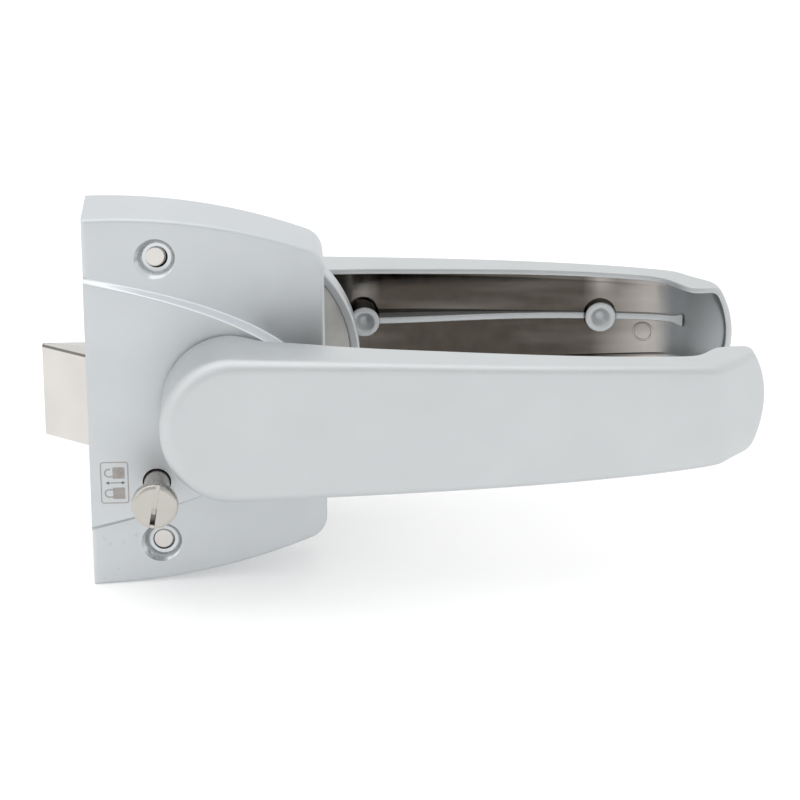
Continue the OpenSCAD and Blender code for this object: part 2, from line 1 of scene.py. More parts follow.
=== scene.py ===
"""Looks of a lever handle lock: satin castings, a bright latch bolt and a bright knob, on a pale floor."""

import math

import bmesh
import bpy
import numpy as np
from bpy.props import FloatProperty, FloatVectorProperty, PointerProperty
from mathutils import Matrix, Vector


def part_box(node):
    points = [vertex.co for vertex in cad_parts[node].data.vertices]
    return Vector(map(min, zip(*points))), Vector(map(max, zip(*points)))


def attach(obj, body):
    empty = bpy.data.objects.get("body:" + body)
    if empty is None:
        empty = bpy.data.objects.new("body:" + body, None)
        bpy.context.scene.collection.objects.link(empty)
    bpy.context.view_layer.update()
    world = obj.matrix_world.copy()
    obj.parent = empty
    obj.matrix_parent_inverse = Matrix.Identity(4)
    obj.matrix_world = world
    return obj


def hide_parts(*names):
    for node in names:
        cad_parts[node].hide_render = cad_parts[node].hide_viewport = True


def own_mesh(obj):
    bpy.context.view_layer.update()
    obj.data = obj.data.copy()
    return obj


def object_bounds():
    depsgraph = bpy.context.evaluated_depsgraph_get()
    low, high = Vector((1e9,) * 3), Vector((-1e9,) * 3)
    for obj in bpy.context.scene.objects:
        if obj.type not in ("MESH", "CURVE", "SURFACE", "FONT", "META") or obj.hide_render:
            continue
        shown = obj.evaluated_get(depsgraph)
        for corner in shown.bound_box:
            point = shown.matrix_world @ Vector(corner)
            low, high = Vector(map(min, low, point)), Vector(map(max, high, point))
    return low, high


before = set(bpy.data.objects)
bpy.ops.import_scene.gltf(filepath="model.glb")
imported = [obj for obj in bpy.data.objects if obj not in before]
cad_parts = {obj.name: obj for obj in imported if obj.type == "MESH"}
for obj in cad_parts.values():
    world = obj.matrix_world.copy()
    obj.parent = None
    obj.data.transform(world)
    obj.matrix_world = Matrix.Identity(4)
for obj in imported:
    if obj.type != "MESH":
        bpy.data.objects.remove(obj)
cad_low, cad_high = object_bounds()

bl_info = {
    "name": "Lever handle lock",
    "version": (1, 0, 0),
    "blender": (4, 5, 0),
    "location": "3D View > Sidebar > Lever Lock",
    "description": "Builds the visible surfaces of a lever handle lock round its packed frame",
    "category": "Object",
}

MM = 0.001
lever_low, lever_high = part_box("inner_lever")
case_low, case_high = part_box("lock_case")
rosette_low, rosette_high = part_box("outer_rosette")
head_low, head_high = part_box("knob_head")
stem_low, stem_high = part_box("knob_stem")
bolt_low, bolt_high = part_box("latch_bolt")
outer_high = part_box("outer_lever")[1]


# Number helpers

def ramp(x, start, end):
    """0 before start, 1 after end, and a straight line between them."""
    return np.clip((np.asarray(x, float) - start) / (end - start), 0.0, 1.0)


def smooth(t):
    """An S curve from 0 to 1: 3 t squared less 2 t cubed."""
    return t * t * (3 - 2 * t)


def mix(a, b, t):
    """a at 0, b at 1, and in proportion between them."""
    return a + (b - a) * t


def smooth_max(a, b, soft):
    """The larger of two heights, rounded where they cross: half of their sum plus half of the root of their gap
    squared plus soft squared."""
    return 0.5 * (a + b + np.sqrt((a - b) ** 2 + soft * soft))


def bend(start, corner, end, t):
    """A curve from start to end that leaves and arrives along its lines to the corner."""
    return (1 - t) ** 2 * start + 2 * t * (1 - t) * corner + t * t * end


def rounded(points, radius, steps=4):
    """A broken line with its inner corners rounded: each corner becomes a curve that starts and ends a radius
    away from it."""
    points = np.asarray(points, float)
    out = [points[:1]]
    t = np.linspace(0, 1, steps + 1)[:, None]
    for before, corner, after in zip(points[:-2], points[1:-1], points[2:]):
        back, on = before - corner, after - corner
        reach = min(radius, 0.45 * np.linalg.norm(back), 0.45 * np.linalg.norm(on))
        start = corner + back / np.linalg.norm(back) * reach
        end = corner + on / np.linalg.norm(on) * reach
        out.append(bend(start, corner, end, t))
    return np.concatenate(out + [points[-1:]])


def rounded_loop(points, radius, steps=5):
    """A closed outline with every corner rounded in the same way."""
    points = np.asarray(points, float)
    around = np.concatenate([points[-1:], points, points[:1]])
    return rounded(around, radius, steps)[1:-1]


def box_loop(x0, z0, x1, z1, radius, steps=5):
    """A rounded rectangle between two opposite corners."""
    return rounded_loop([(x0, z0), (x1, z0), (x1, z1), (x0, z1)], radius, steps)


def rod(radius, start, end):
    """The profile of a plain round rod, from its axis out and back."""
    return [(0, start), (radius, start), (radius, end), (0, end)]


def inward(loop, inset):
    """A closed outline moved in by inset along its own normals, for an outline that runs anticlockwise."""
    along = np.roll(loop, -1, 0) - np.roll(loop, 1, 0)
    along /= np.linalg.norm(along, axis=1)[:, None]
    return loop + np.stack([-along[:, 1], along[:, 0]], 1) * inset


# Meshes

def surface(name, grids, sharp=32.0, coarse=0.002, finishes=()):
    """One mesh from grids of points in millimetres. A grid is (points, rows wrap, finish of each row), and its
    columns always run round. End rows that shrink to a point or a line are merged, so each grid is closed."""
    points, faces, kinds = [], [], []
    start = 0
    for grid, wrap, finish in grids:
        rows, columns = grid.shape[:2]
        r = np.arange(rows if wrap else rows - 1)
        c = np.arange(columns)
        a = (r[:, None] * columns + c).ravel()
        b = (r[:, None] * columns + (c + 1) % columns).ravel()
        up = (((r[:, None] + 1) % rows) * columns + c).ravel()
        over = (((r[:, None] + 1) % rows) * columns + (c + 1) % columns).ravel()
        faces.append(np.stack([a, b, over, up], 1) + start)
        points.append(grid.reshape(-1, 3) * MM)
        kinds.append(np.broadcast_to(np.asarray(finish).reshape(-1, 1), (len(r), columns)).ravel())
        start += rows * columns
    mesh = bpy.data.meshes.new(name)
    mesh.from_pydata(np.concatenate(points).tolist(), [], np.concatenate(faces).tolist())
    mesh.polygons.foreach_set("material_index", np.concatenate(kinds).astype(np.int32))
    made = bmesh.new()
    made.from_mesh(mesh)
    bmesh.ops.remove_doubles(made, verts=made.verts, dist=coarse * MM)
    bmesh.ops.dissolve_degenerate(made, edges=made.edges, dist=0.5 * coarse * MM)
    bmesh.ops.recalc_face_normals(made, faces=made.faces)
    made.to_mesh(mesh)
    made.free()
    for finish in finishes:
        mesh.materials.append(finish)
    piece = bpy.data.objects.new(name, mesh)
    bpy.context.scene.collection.objects.link(piece)
    shade(piece, sharp)
    return piece


def shade(piece, sharp=32.0):
    """Smooth shading that breaks at edges sharper than this angle."""
    mesh = piece.data
    mesh.polygons.foreach_set("use_smooth", np.ones(len(mesh.polygons), bool))
    mesh.set_sharp_from_angle(angle=math.radians(sharp))
    mesh.update()


def turned(profile, centre=(0.0, 0.0), wrap=False, turns=64, finish=0):
    """A profile of (radius, depth) turned about an axis along Y: x and z are the centre plus radius times the
    cosine and the sine of the angle."""
    profile = np.asarray(profile, float)
    angle = np.linspace(0, 2 * math.pi, turns, endpoint=False)
    radius, depth = profile[:, 0:1], profile[:, 1:2]
    grid = np.stack([
        centre[0] + radius * np.cos(angle), depth + 0 * angle, centre[1] + radius * np.sin(angle)
    ], 2)
    return grid, wrap, finish


def stacked(loop, levels, axis=1, finish=0):
    """An outline carried along an axis: each level is (inset, place), and both ends shrink to its middle."""
    middle = loop.mean(0)
    rows = [inward(loop, inset) if inset else loop for inset, place in levels]
    rows = [mix(rows[0], middle, 1.0), *rows, mix(rows[-1], middle, 1.0)]
    places = [levels[0][1], *[place for inset, place in levels], levels[-1][1]]
    flat = [k for k in range(3) if k != axis]
    grid = np.zeros((len(rows), len(loop), 3))
    for k, (row, place) in enumerate(zip(rows, places)):
        grid[k][:, flat] = row
        grid[k][:, axis] = place
    return grid, False, finish


def laid(loop, depth):
    """An outline of (x, z) points at one depth along Y, or at a depth for each point."""
    return np.column_stack([loop[:, 0], np.broadcast_to(depth, len(loop)), loop[:, 1]])


def closed(grid):
    """A bar's grid with both of its ends drawn in to their middles."""
    ends = [np.broadcast_to(grid[k].mean(0), grid[k].shape)[None] for k in (0, -1)]
    return np.concatenate([ends[0], grid, ends[1]])


def round_levels(low, high, radius, steps=4):
    """Levels for a slab with rounded edges: the inset is radius times one less sine, and the place follows the
    cosine."""
    a = np.linspace(0, math.pi / 2, steps + 1)
    inset, rise = radius * (1 - np.sin(a)), radius * (1 - np.cos(a))
    return [*zip(inset, low + rise), *zip(inset[::-1], high - rise[::-1])]


def carve(piece, tools, operation="DIFFERENCE", sharp=32.0):
    """Cuts closed tools out of a closed piece, or joins them to it, keeps the result and removes the tools."""
    for tool in tools:
        cutter = piece.modifiers.new("carve", "BOOLEAN")
        cutter.operation = operation
        cutter.solver = "MANIFOLD"
        cutter.object = tool
    graph = bpy.context.evaluated_depsgraph_get()
    mesh = bpy.data.meshes.new_from_object(piece.evaluated_get(graph), depsgraph=graph)
    if not len(mesh.polygons):
        raise RuntimeError(f"{piece.name}: nothing is left after carving")
    piece.modifiers.clear()
    piece.data = mesh
    mesh.name = piece.name
    for tool in tools:
        bpy.data.objects.remove(tool)
    shade(piece, sharp)
    return piece


def join(piece, other):
    """Adds the mesh of another piece to this one."""
    made = bmesh.new()
    made.from_mesh(piece.data)
    made.from_mesh(other.data)
    bpy.data.objects.remove(other)
    made.to_mesh(piece.data)
    made.free()


def settle(piece, body, nodes, finishes):
    """Gives a finished piece its materials and its body, and hides the CAD nodes that it stands for."""
    slots = piece.data.materials
    for finish in finishes[len(slots):]:
        slots.append(finish)
    for k, finish in enumerate(finishes):
        slots[k] = finish
    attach(piece, body)
    if nodes:
        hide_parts(*nodes)


# Materials

class Socket:
    """An output in a node tree. Arithmetic on it adds the Math node that does the sum."""

    def __init__(self, finish, output):
        self.finish, self.output = finish, output

    def sum_of(self, operation, first, second):
        """The Math node of two values, each a number or a socket."""
        return self.finish.node("ShaderNodeMath", {"operation": operation}, {0: first, 1: second})

    def __add__(self, other):
        return self.sum_of("ADD", self, other)

    def __sub__(self, other):
        return self.sum_of("SUBTRACT", self, other)

    def __rsub__(self, other):
        return self.sum_of("SUBTRACT", other, self)

    def __mul__(self, other):
        return self.sum_of("MULTIPLY", self, other)

    __radd__, __rmul__ = __add__, __mul__


class Finish:
    """The node tree of a new material, or of the world when one is given."""

    def __init__(self, name, world=None):
        self.owner = world or bpy.data.materials.new(name)
        self.owner.use_nodes = True
        self.tree = self.owner.node_tree
        self.tree.nodes.clear()

    def node(self, kind, settings=None, inputs=None, output=0):
        """Adds a node of this type with its settings, then the values or links of its sockets."""
        made = self.tree.nodes.new(kind)
        for key, value in (settings or {}).items():
            setattr(made, key, value)
        for key, value in (inputs or {}).items():
            if isinstance(value, Socket):
                self.tree.links.new(value.output, made.inputs[key])
            else:
                made.inputs[key].default_value = value
        return Socket(self, made.outputs[output]) if len(made.outputs) else made

    def place(self):
        """Object coordinates in metres."""
        return self.node("ShaderNodeTexCoord", output="Object")

    def seen(self):
        """1 for a ray from the camera, from gloss or through glass, and 0 for light on the object."""
        rays = self.node("ShaderNodeLightPath").output.node
        camera, gloss, glass = (Socket(self, rays.outputs[f"Is {kind} Ray"]) for kind in
                                ("Camera", "Glossy", "Transmission"))
        either = self.node("ShaderNodeMath", {"operation": "MAXIMUM"}, {0: gloss, 1: glass})
        return self.node("ShaderNodeMath", {"operation": "MAXIMUM"}, {0: camera, 1: either})

    def along(self, axis):
        """One of the object coordinates."""
        return self.node("ShaderNodeSeparateXYZ", None, {0: self.place()}, output=axis)

    def distance(self, place, point):
        """How far a place is from a point."""
        return self.node(
            "ShaderNodeVectorMath", {"operation": "DISTANCE"}, {0: place, 1: point}, output="Value")

    def noise(self, scale, detail, roughness, stretch=(1.0, 1.0, 1.0)):
        """A noise pattern, longer along an axis whose stretch is under 1."""
        where = self.node("ShaderNodeMapping", None, {"Vector": self.place(), "Scale": stretch})
        return self.node("ShaderNodeTexNoise", None, {
            "Vector": where, "Scale": scale, "Detail": detail, "Roughness": roughness
        })

    def between(self, value, low, high, new_low=0.0, new_high=1.0):
        """A value carried from one range to another, held inside it."""
        return self.node("ShaderNodeMapRange", {"clamp": True}, {
            "Value": value, "From Min": low, "From Max": high, "To Min": new_low, "To Max": new_high
        })

    def blend(self, share, first, second):
        """A colour between two colours."""
        return self.node("ShaderNodeMix", {"data_type": "RGBA"}, {0: share, 6: first, 7: second}, output=2)

    def bump(self, height, strength, distance):
        """A normal that follows a height, where distance is how deep a height of 1 goes in metres."""
        return self.node("ShaderNodeBump", None, {"Height": height, "Strength": strength, "Distance": distance})

    def metal(self, inputs):
        """The metal shader and the material's output."""
        shader = self.node("ShaderNodeBsdfPrincipled", None, inputs)
        self.node("ShaderNodeOutputMaterial", None, {"Surface": shader})
        return self.owner


def tone(colour, factor=1.0):
    """A colour made lighter or darker, as the four numbers that a colour socket takes."""
    return tuple(min(1.0, c * factor) for c in colour) + (1.0,)


# The share of a blasted surface that stays metallic, while the rest scatters light like a matt one
BLASTED = 0.75
# The scuffed corner of the case, in metres, and the colour of its scuffs
SCUFF_PLACE = (-0.0285, -0.024, -0.038)
SCUFF_COLOUR = (0.36, 0.37, 0.38)
WHITE = (1.0, 1.0, 1.0, 1.0)


def cast_finish(name, colour, darkest, lightest, scuffed=False):
    """Cast metal, bead blasted and satin plated: a fine even grain, faint clouds of tone and roughness, and on
    the case also the small scuffs of its lower latch corner."""
    f = Finish(name)
    cloud = f.noise(38.0, 3.0, 0.55)
    patch = f.noise(140.0, 4.0, 0.6)
    fine = f.noise(5200.0, 2.0, 0.6)
    pits = f.noise(1700.0, 2.0, 0.5)
    shade_of = f.between(cloud * 0.7 + patch * 0.3, 0.35, 0.65)
    base = f.blend(shade_of, tone(colour, darkest), tone(colour, lightest))
    roughness = f.between(patch + fine * 0.25, 0.45, 0.8, 0.45, 0.53)
    height = fine + pits * 0.6
    if scuffed:
        near = f.between(f.distance(f.place(), SCUFF_PLACE), 0.0095, 0.003)
        scuff = near * f.between(f.noise(620.0, 4.0, 0.65, (1.0, 1.0, 0.55)), 0.62, 0.70)
        base = f.blend(scuff * 0.4, base, tone(SCUFF_COLOUR))
        roughness = roughness + scuff * 0.12
        height = height - scuff
    return f.metal({
        "Base Color": base, "Metallic": BLASTED, "Roughness": roughness, "Normal": f.bump(height, 0.22, 0.00004)
    })


def band_finish(name, colour):
    """The step around the raised middle: a painted highlight makes it lighter above the levers' axis, where the
    step faces up, and painted shade makes it a little darker below it.
    """
    f = Finish(name)
    fine = f.noise(5200.0, 2.0, 0.6)
    # Painted highlight: the colour grows lighter above the levers' axis, where the step faces up, and darker
    # below
    base = f.blend(f.between(f.along("Z"), -0.002, 0.006), tone(colour, 0.9), tone(colour, 1.42))
    height = f.bump(fine, 0.1, 0.00003)
    return f.metal({"Base Color": base, "Metallic": BLASTED, "Roughness": 0.32 + fine * 0.08, "Normal": height})


def plated_finish(name, colour, painted_reflection, tip, pins):
    """The unblasted plating inside a lever: a mirror whose base colour is painted dark, as a painted reflection
    of dark surroundings, with the soft waves of the raw casting. Painted reflections make it lighter above the
    pins and before the tip, with painted streak glints, and inside the tip it is satin, with painted shade that
    makes it darker towards the hollow."""
    f = Finish(name)
    wave = f.noise(45.0, 2.0, 0.4, (0.35, 1.0, 1.0))
    cloud = f.noise(230.0, 3.0, 0.5)
    along = f.along("X")
    above = f.between(f.along("Z"), 0.002, 0.009)
    streak_glints = f.noise(150.0, 2.0, 0.5, (0.1, 1.0, 1.0))
    # Painted reflections: lighter before the tip, with painted streak glints
    light = f.between(along, 0.094, 0.108, 0.0, 0.8) + f.between(streak_glints, 0.5, 0.7, 0.0, 0.16)
    # Painted reflections of the pins on the wall above each of them
    for pin in pins:
        away = f.node("ShaderNodeMath", {"operation": "ABSOLUTE"}, {0: along - pin})
        light = light + f.between(away, 0.0045, 0.0005, 0.0, 0.55) * above
    # Painted reflection: the plating's base colour is painted dark for the dark surroundings that it reflects
    body = f.blend(f.between(cloud, 0.35, 0.7), tone(colour, 0.9), tone(colour, 1.1))
    inside = f.between(along, 0.1105, 0.1145)
    # Painted shade inside the tip: darker on the side towards the hollow, lighter towards the tip's end
    pocket_painted_shade = f.blend(f.between(along, 0.113, 0.127), tone(tip, 0.42), tone(tip, 0.9))
    base = f.blend(inside, f.blend(light, body, tone(painted_reflection)), pocket_painted_shade)
    roughness = f.between(cloud, 0.35, 0.7, 0.05, 0.10) * (1 - inside) + inside * 0.36
    height = f.bump(wave, 0.25, 0.0006)
    return f.metal({"Base Color": base, "Metallic": 1.0, "Roughness": roughness, "Normal": height})


def nickel_finish(name, colour, rough=0.2, lines=(1.0, 1.0, 0.04)):
    """Polished nickel plate with faint drawn lines along the axis whose number in lines is small."""
    f = Finish(name)
    drawn = f.noise(3800.0, 3.0, 0.6, lines)
    cloud = f.noise(90.0, 3.0, 0.5)
    base = f.blend(f.between(cloud, 0.35, 0.65), tone(colour, 0.96), tone(colour, 1.03))
    roughness = f.between(drawn * 0.5 + cloud * 0.5, 0.35, 0.65, rough - 0.04, rough + 0.07)
    height = f.bump(drawn, 0.10, 0.00003)
    return f.metal({"Base Color": base, "Metallic": 1.0, "Roughness": roughness, "Normal": height})


def steel_finish(name, colour, rough=0.34, metallic=1.0, grain=2600.0):
    """Plain machined steel or a matt moulding: mottled tone and a fine grain."""
    f = Finish(name)
    cloud = f.noise(160.0, 3.0, 0.55)
    fine = f.noise(grain, 3.0, 0.6)
    base = f.blend(f.between(cloud, 0.3, 0.7), tone(colour, 0.9), tone(colour, 1.06))
    roughness = f.between(cloud + fine * 0.4, 0.45, 0.95, rough - 0.05, rough + 0.08)
    height = f.bump(fine, 0.2, 0.00005)
    return f.metal({"Base Color": base, "Metallic": metallic, "Roughness": roughness, "Normal": height})


def ink_finish(name, colour):
    """Printed ink: matt, a little uneven in density."""
    f = Finish(name)
    patchy = f.noise(900.0, 3.0, 0.6)
    base = f.blend(f.between(patchy, 0.35, 0.7), tone(colour, 0.92), tone(colour, 1.12))
    return f.metal({"Base Color": base, "Metallic": 0.0, "Roughness": f.between(patchy, 0.3, 0.7, 0.5, 0.62)})


def floor_finish(name, colour, lift):
    """A pale matt sweep. The camera and the metal see it lifted towards white, and it still takes shadow."""
    f = Finish(name)
    tint = f.between(f.noise(3.0, 2.0, 0.5), 0.3, 0.7)
    base = f.blend(tint, tone(colour, 0.99), tone(colour, 1.0))
    matt = f.node("ShaderNodeBsdfPrincipled", None, {"Base Color": base, "Roughness": 0.9})
    glow = f.node("ShaderNodeEmission", None, {"Color": WHITE, "Strength": f.seen() * lift})
    both = f.node("ShaderNodeAddShader", None, {0: matt, 1: glow})
    f.node("ShaderNodeOutputMaterial", None, {"Surface": both})
    return f.owner


# A dark colour for painted shade and a painted dark reflection, then the colours of the inner parts, which the
# panel leaves out
PAINTED_DARK = (0.20, 0.195, 0.175)
PLAIN_STEEL = (0.60, 0.61, 0.62)
BLACK_STEEL = (0.05, 0.05, 0.055)
BLACK_NYLON = (0.035, 0.035, 0.037)

finishes = {}


def finish_of(kind):
    """The material of this kind, made when a piece first asks for it."""
    if kind not in finishes:
        c = bpy.context.scene.lock_colours
        finishes[kind] = {
            # Painted shade: the levers' colour is a little darker and warmer than the case's, and the rosette
            # takes it too
            "satin": lambda: cast_finish("satin_cast", c.lever, 0.965, 1.025),
            "case": lambda: cast_finish("satin_case", c.satin, 1.0, 1.05, scuffed=True),
            "plated": lambda: plated_finish("plating_with_painted_reflections", c.plated, c.painted_reflection, c.satin, PIN_X),
            "nickel": lambda: nickel_finish("polished_nickel", c.nickel),
            "nickel_turned": lambda: nickel_finish("turned_nickel", c.knob, 0.24, (1.0, 0.05, 1.0)),
            "sink": lambda: nickel_finish("machined_sink", c.satin, 0.22, (1.0, 1.0, 1.0)),
            "band": lambda: band_finish("band_painted_highlight", c.satin),
            # A dark finish: a painted dark reflection on the bolt's upper edge, and painted shade in the knob's
            # notch
            "painted_dark": lambda: steel_finish("painted_dark", PAINTED_DARK, 0.3),
            "steel": lambda: steel_finish("plain_steel", PLAIN_STEEL),
            "plate": lambda: steel_finish("inner_plate", c.plate, 0.42, 0.6),
            "black_steel": lambda: steel_finish("blackened_steel", BLACK_STEEL, 0.38, 0.6),
            "nylon": lambda: steel_finish("black_nylon", BLACK_NYLON, 0.55, 0.0, 1400.0),
            "ink": lambda: ink_finish("grey_ink", c.ink),
        }[kind]()
    return finishes[kind]


# Sizes and colours that a user would change

class LockCaseSizes(bpy.types.PropertyGroup):
    left: FloatProperty(
        name="Latch edge", description="Place of the latch edge of the case along X",
        default=case_low.x, unit="LENGTH")
    right: FloatProperty(
        name="Hinge edge", description="Place of the hinge edge of the case along X",
        default=case_high.x, unit="LENGTH")
    half_height: FloatProperty(
        name="Half height", description="Half of the height of the case", default=case_high.z, unit="LENGTH")
    arch: FloatProperty(
        name="Arch radius", description="Radius of the arched top and bottom", default=0.145, unit="LENGTH")
    corner: FloatProperty(
        name="Corner radius", description="Radius of the two rounded corners", default=0.006, unit="LENGTH")
    front: FloatProperty(
        name="Front", description="Depth of the raised middle of the front", default=case_low.y, unit="LENGTH")
    step: FloatProperty(
        name="Step", description="Height of the raised middle above the latch edge", default=0.0008,
        unit="LENGTH")
    slope: FloatProperty(
        name="Slope", description="Fall of the front towards the hinge edge", default=math.radians(5.15),
        subtype="ANGLE")
    fillet: FloatProperty(
        name="Edge radius", description="Radius of the front edge", default=0.0011, unit="LENGTH")
    wall: FloatProperty(name="Wall", description="Thickness of the cast wall", default=0.0026, unit="LENGTH")


class LeverSizes(bpy.types.PropertyGroup):
    length: FloatProperty(
        name="Length", description="From the pivot to the tip", default=lever_high.x, unit="LENGTH")
    hub: FloatProperty(
        name="Hub radius", description="Radius of the round hub", default=-lever_low.x, unit="LENGTH")
    face: FloatProperty(
        name="Face", description="Depth of the outer face of the room side lever", default=lever_low.y,
        unit="LENGTH")
    back: FloatProperty(
        name="Hub back", description="Depth of the back of the hub", default=lever_low.y + 0.0222,
        unit="LENGTH")
    tip_width: FloatProperty(
        name="Tip half width", description="Half width of the lever near its tip", default=0.0123,
        unit="LENGTH")
    wall: FloatProperty(name="Wall", description="Thickness of the cast wall", default=0.0016, unit="LENGTH")


class LockColours(bpy.types.PropertyGroup):
    satin: FloatVectorProperty(
        name="Satin metal", description="Colour of the cast case and the rosette",
        default=(0.60, 0.626, 0.642), subtype="COLOR", min=0.0, max=1.0)
    # Painted shade: the levers take a tone a little darker and warmer than the case's
    lever: FloatVectorProperty(
        name="Shaded lever metal", description="Colour of the levers, painted a little darker and warmer than the case as painted shade",
        default=(0.598, 0.618, 0.627), subtype="COLOR", min=0.0, max=1.0)
    # Painted reflection: this colour is painted dark for the dark surroundings that the bright plating reflects
    plated: FloatVectorProperty(
        name="Bright plating", description="Colour of the hollow of a lever",
        default=(0.066, 0.057, 0.048), subtype="COLOR", min=0.0, max=1.0)
    # Painted reflection: the colour of the hollow beside its pins and near its tip
    painted_reflection: FloatVectorProperty(
        name="Painted reflection in plating", description="Colour of the hollow of a lever beside its pins and near its tip",
        default=(0.40, 0.375, 0.35), subtype="COLOR", min=0.0, max=1.0)
    nickel: FloatVectorProperty(
        name="Nickel", description="Colour of the latch bolt and the studs",
        default=(0.63, 0.61, 0.585), subtype="COLOR", min=0.0, max=1.0)
    knob: FloatVectorProperty(
        name="Turned nickel", description="Colour of the knob",
        default=(0.51, 0.487, 0.455), subtype="COLOR", min=0.0, max=1.0)
    plate: FloatVectorProperty(
        name="Inner plate", description="Colour of the plate inside the rosette",
        default=(0.74, 0.73, 0.70), subtype="COLOR", min=0.0, max=1.0)
    ink: FloatVectorProperty(
        name="Ink", description="Colour of the printed pictogram",
        default=(0.38, 0.355, 0.335), subtype="COLOR", min=0.0, max=1.0)


class StageSettings(bpy.types.PropertyGroup):
    focal_length: FloatProperty(
        name="Focal length", description="Lens of the camera in millimetres", default=137.52)
    floor_colour: FloatVectorProperty(
        name="Floor", description="Colour of the floor", default=(0.74, 0.74, 0.74), subtype="COLOR",
        min=0.0, max=1.0)
    floor_lift: FloatProperty(
        name="Floor lift", description="How far the floor is lifted towards white where it is seen",
        default=0.31, min=0.0, max=1.0)
    room_light: FloatProperty(
        name="Room light", description="Strength of the even light from all round", default=1.04, min=0.0)
    lamp_power: FloatProperty(
        name="Lamp power", description="Power of the overhead lamp in watts", default=1.9, min=0.0)


class LockTools(bpy.types.Operator):
    """Shared by the operators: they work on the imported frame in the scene"""
    bl_options = {"REGISTER", "UNDO"}


# The case. From here on a place or a size is in millimetres where nothing else is said, while the panel's are
# in metres

# How far the arches' highest point is from the latch edge
ARCH_APEX = 2.7
# The raised middle: the centre of its two ellipses along X, and their half axes at the crest and at the foot
MIDDLE_X = -110.0
MIDDLE_CREST = (130.0, 37.7)
MIDDLE_FOOT = (131.0, 38.7)
KNOB_HOLE = (-18.6, -19.4)
STUD_X, STUD_Z = -17.6, 35.8
# The opening for the latch bolt: two opposite corners in X and Y, and its half height
BOLT_OPENING, BOLT_HALF = (-60, -21.0, -30, -8.0), 11.95


def case_loop(s, inset, top=34, corner=10, side=26):
    """The case outline set in by inset, anticlockwise from the lower latch corner: the lower arch, a rounded
    corner, the hinge edge, and the same mirrored. The arch is a circle about (apex, half height less arch
    radius)."""
    left, right = s.left / MM + inset, s.right / MM - inset
    arch = s.arch / MM - inset
    turn_radius = max(s.corner / MM - inset, 0.4)
    apex, level = s.left / MM + ARCH_APEX, s.half_height / MM - s.arch / MM
    cx = right - turn_radius
    cz = level + math.sqrt((arch - turn_radius) ** 2 - (cx - apex) ** 2)
    meet = math.atan2(cz - level, cx - apex)
    a = np.linspace(math.acos((left - apex) / arch), meet, top)
    b = np.linspace(meet, 0, corner + 1)[1:]
    upper = np.concatenate([
        np.stack([apex + arch * np.cos(a), level + arch * np.sin(a)], 1),
        np.stack([cx + turn_radius * np.cos(b), cz + turn_radius * np.sin(b)], 1),
    ])
    z0, z1 = upper[0, 1], upper[-1, 1]
    right_side = np.stack([np.full(side, right), np.linspace(-z1, z1, side + 2)[1:-1]], 1)
    left_side = np.stack([np.full(side, left), np.linspace(z0, -z0, side + 2)[1:-1]], 1)
    return np.concatenate([upper * [1, -1], right_side, upper[::-1], left_side])


def face_at(s, x):
    """Depth of the sloping front: the latch edge, then a straight fall."""
    return s.front / MM + s.step / MM + (x - s.left / MM) * math.tan(s.slope)


def case_body(s, name, inset, front_gap, back, radius, looks=()):
    """A closed wedge in the case outline: a back at one depth, upright sides, a rounded front edge, and the
    sloping front."""
    core, chamfer = np.array([-6.0, 0.0]), 0.25
    outer = case_loop(s, inset)

    def front(loop):
        return face_at(s, loop[:, 0]) + front_gap

    rows = [laid(0 * outer + core, back)]
    for q in np.linspace(0, 1, 3):
        rows.append(laid(case_loop(s, inset + chamfer * (1 - q)), back - chamfer * q))
    for q in (0.2, 0.4, 0.6, 0.8):
        rows.append(laid(outer, mix(back - chamfer, front(outer) + radius, q)))
    for a in np.linspace(0, math.pi / 2, 6):
        loop = case_loop(s, inset + radius * (1 - math.cos(a)))
        rows.append(laid(loop, front(loop) + radius * (1 - math.sin(a))))
    last = case_loop(s, inset + radius)
    for q in (0.12, 0.4, 0.7, 1.0):
        loop = mix(last, core, q)
        rows.append(laid(loop, front(loop)))
    return surface(name, [(np.array(rows), False, 0)], finishes=looks)


def half_ellipse(left, long, short, count):
    """The right end of an ellipse about (MIDDLE_X, 0), from its lower point at this left edge to its upper."""
    end = math.acos((left - MIDDLE_X) / long)
    a = np.linspace(-end, end, count)
    return np.column_stack([MIDDLE_X + long * np.cos(a), short * np.sin(a)])


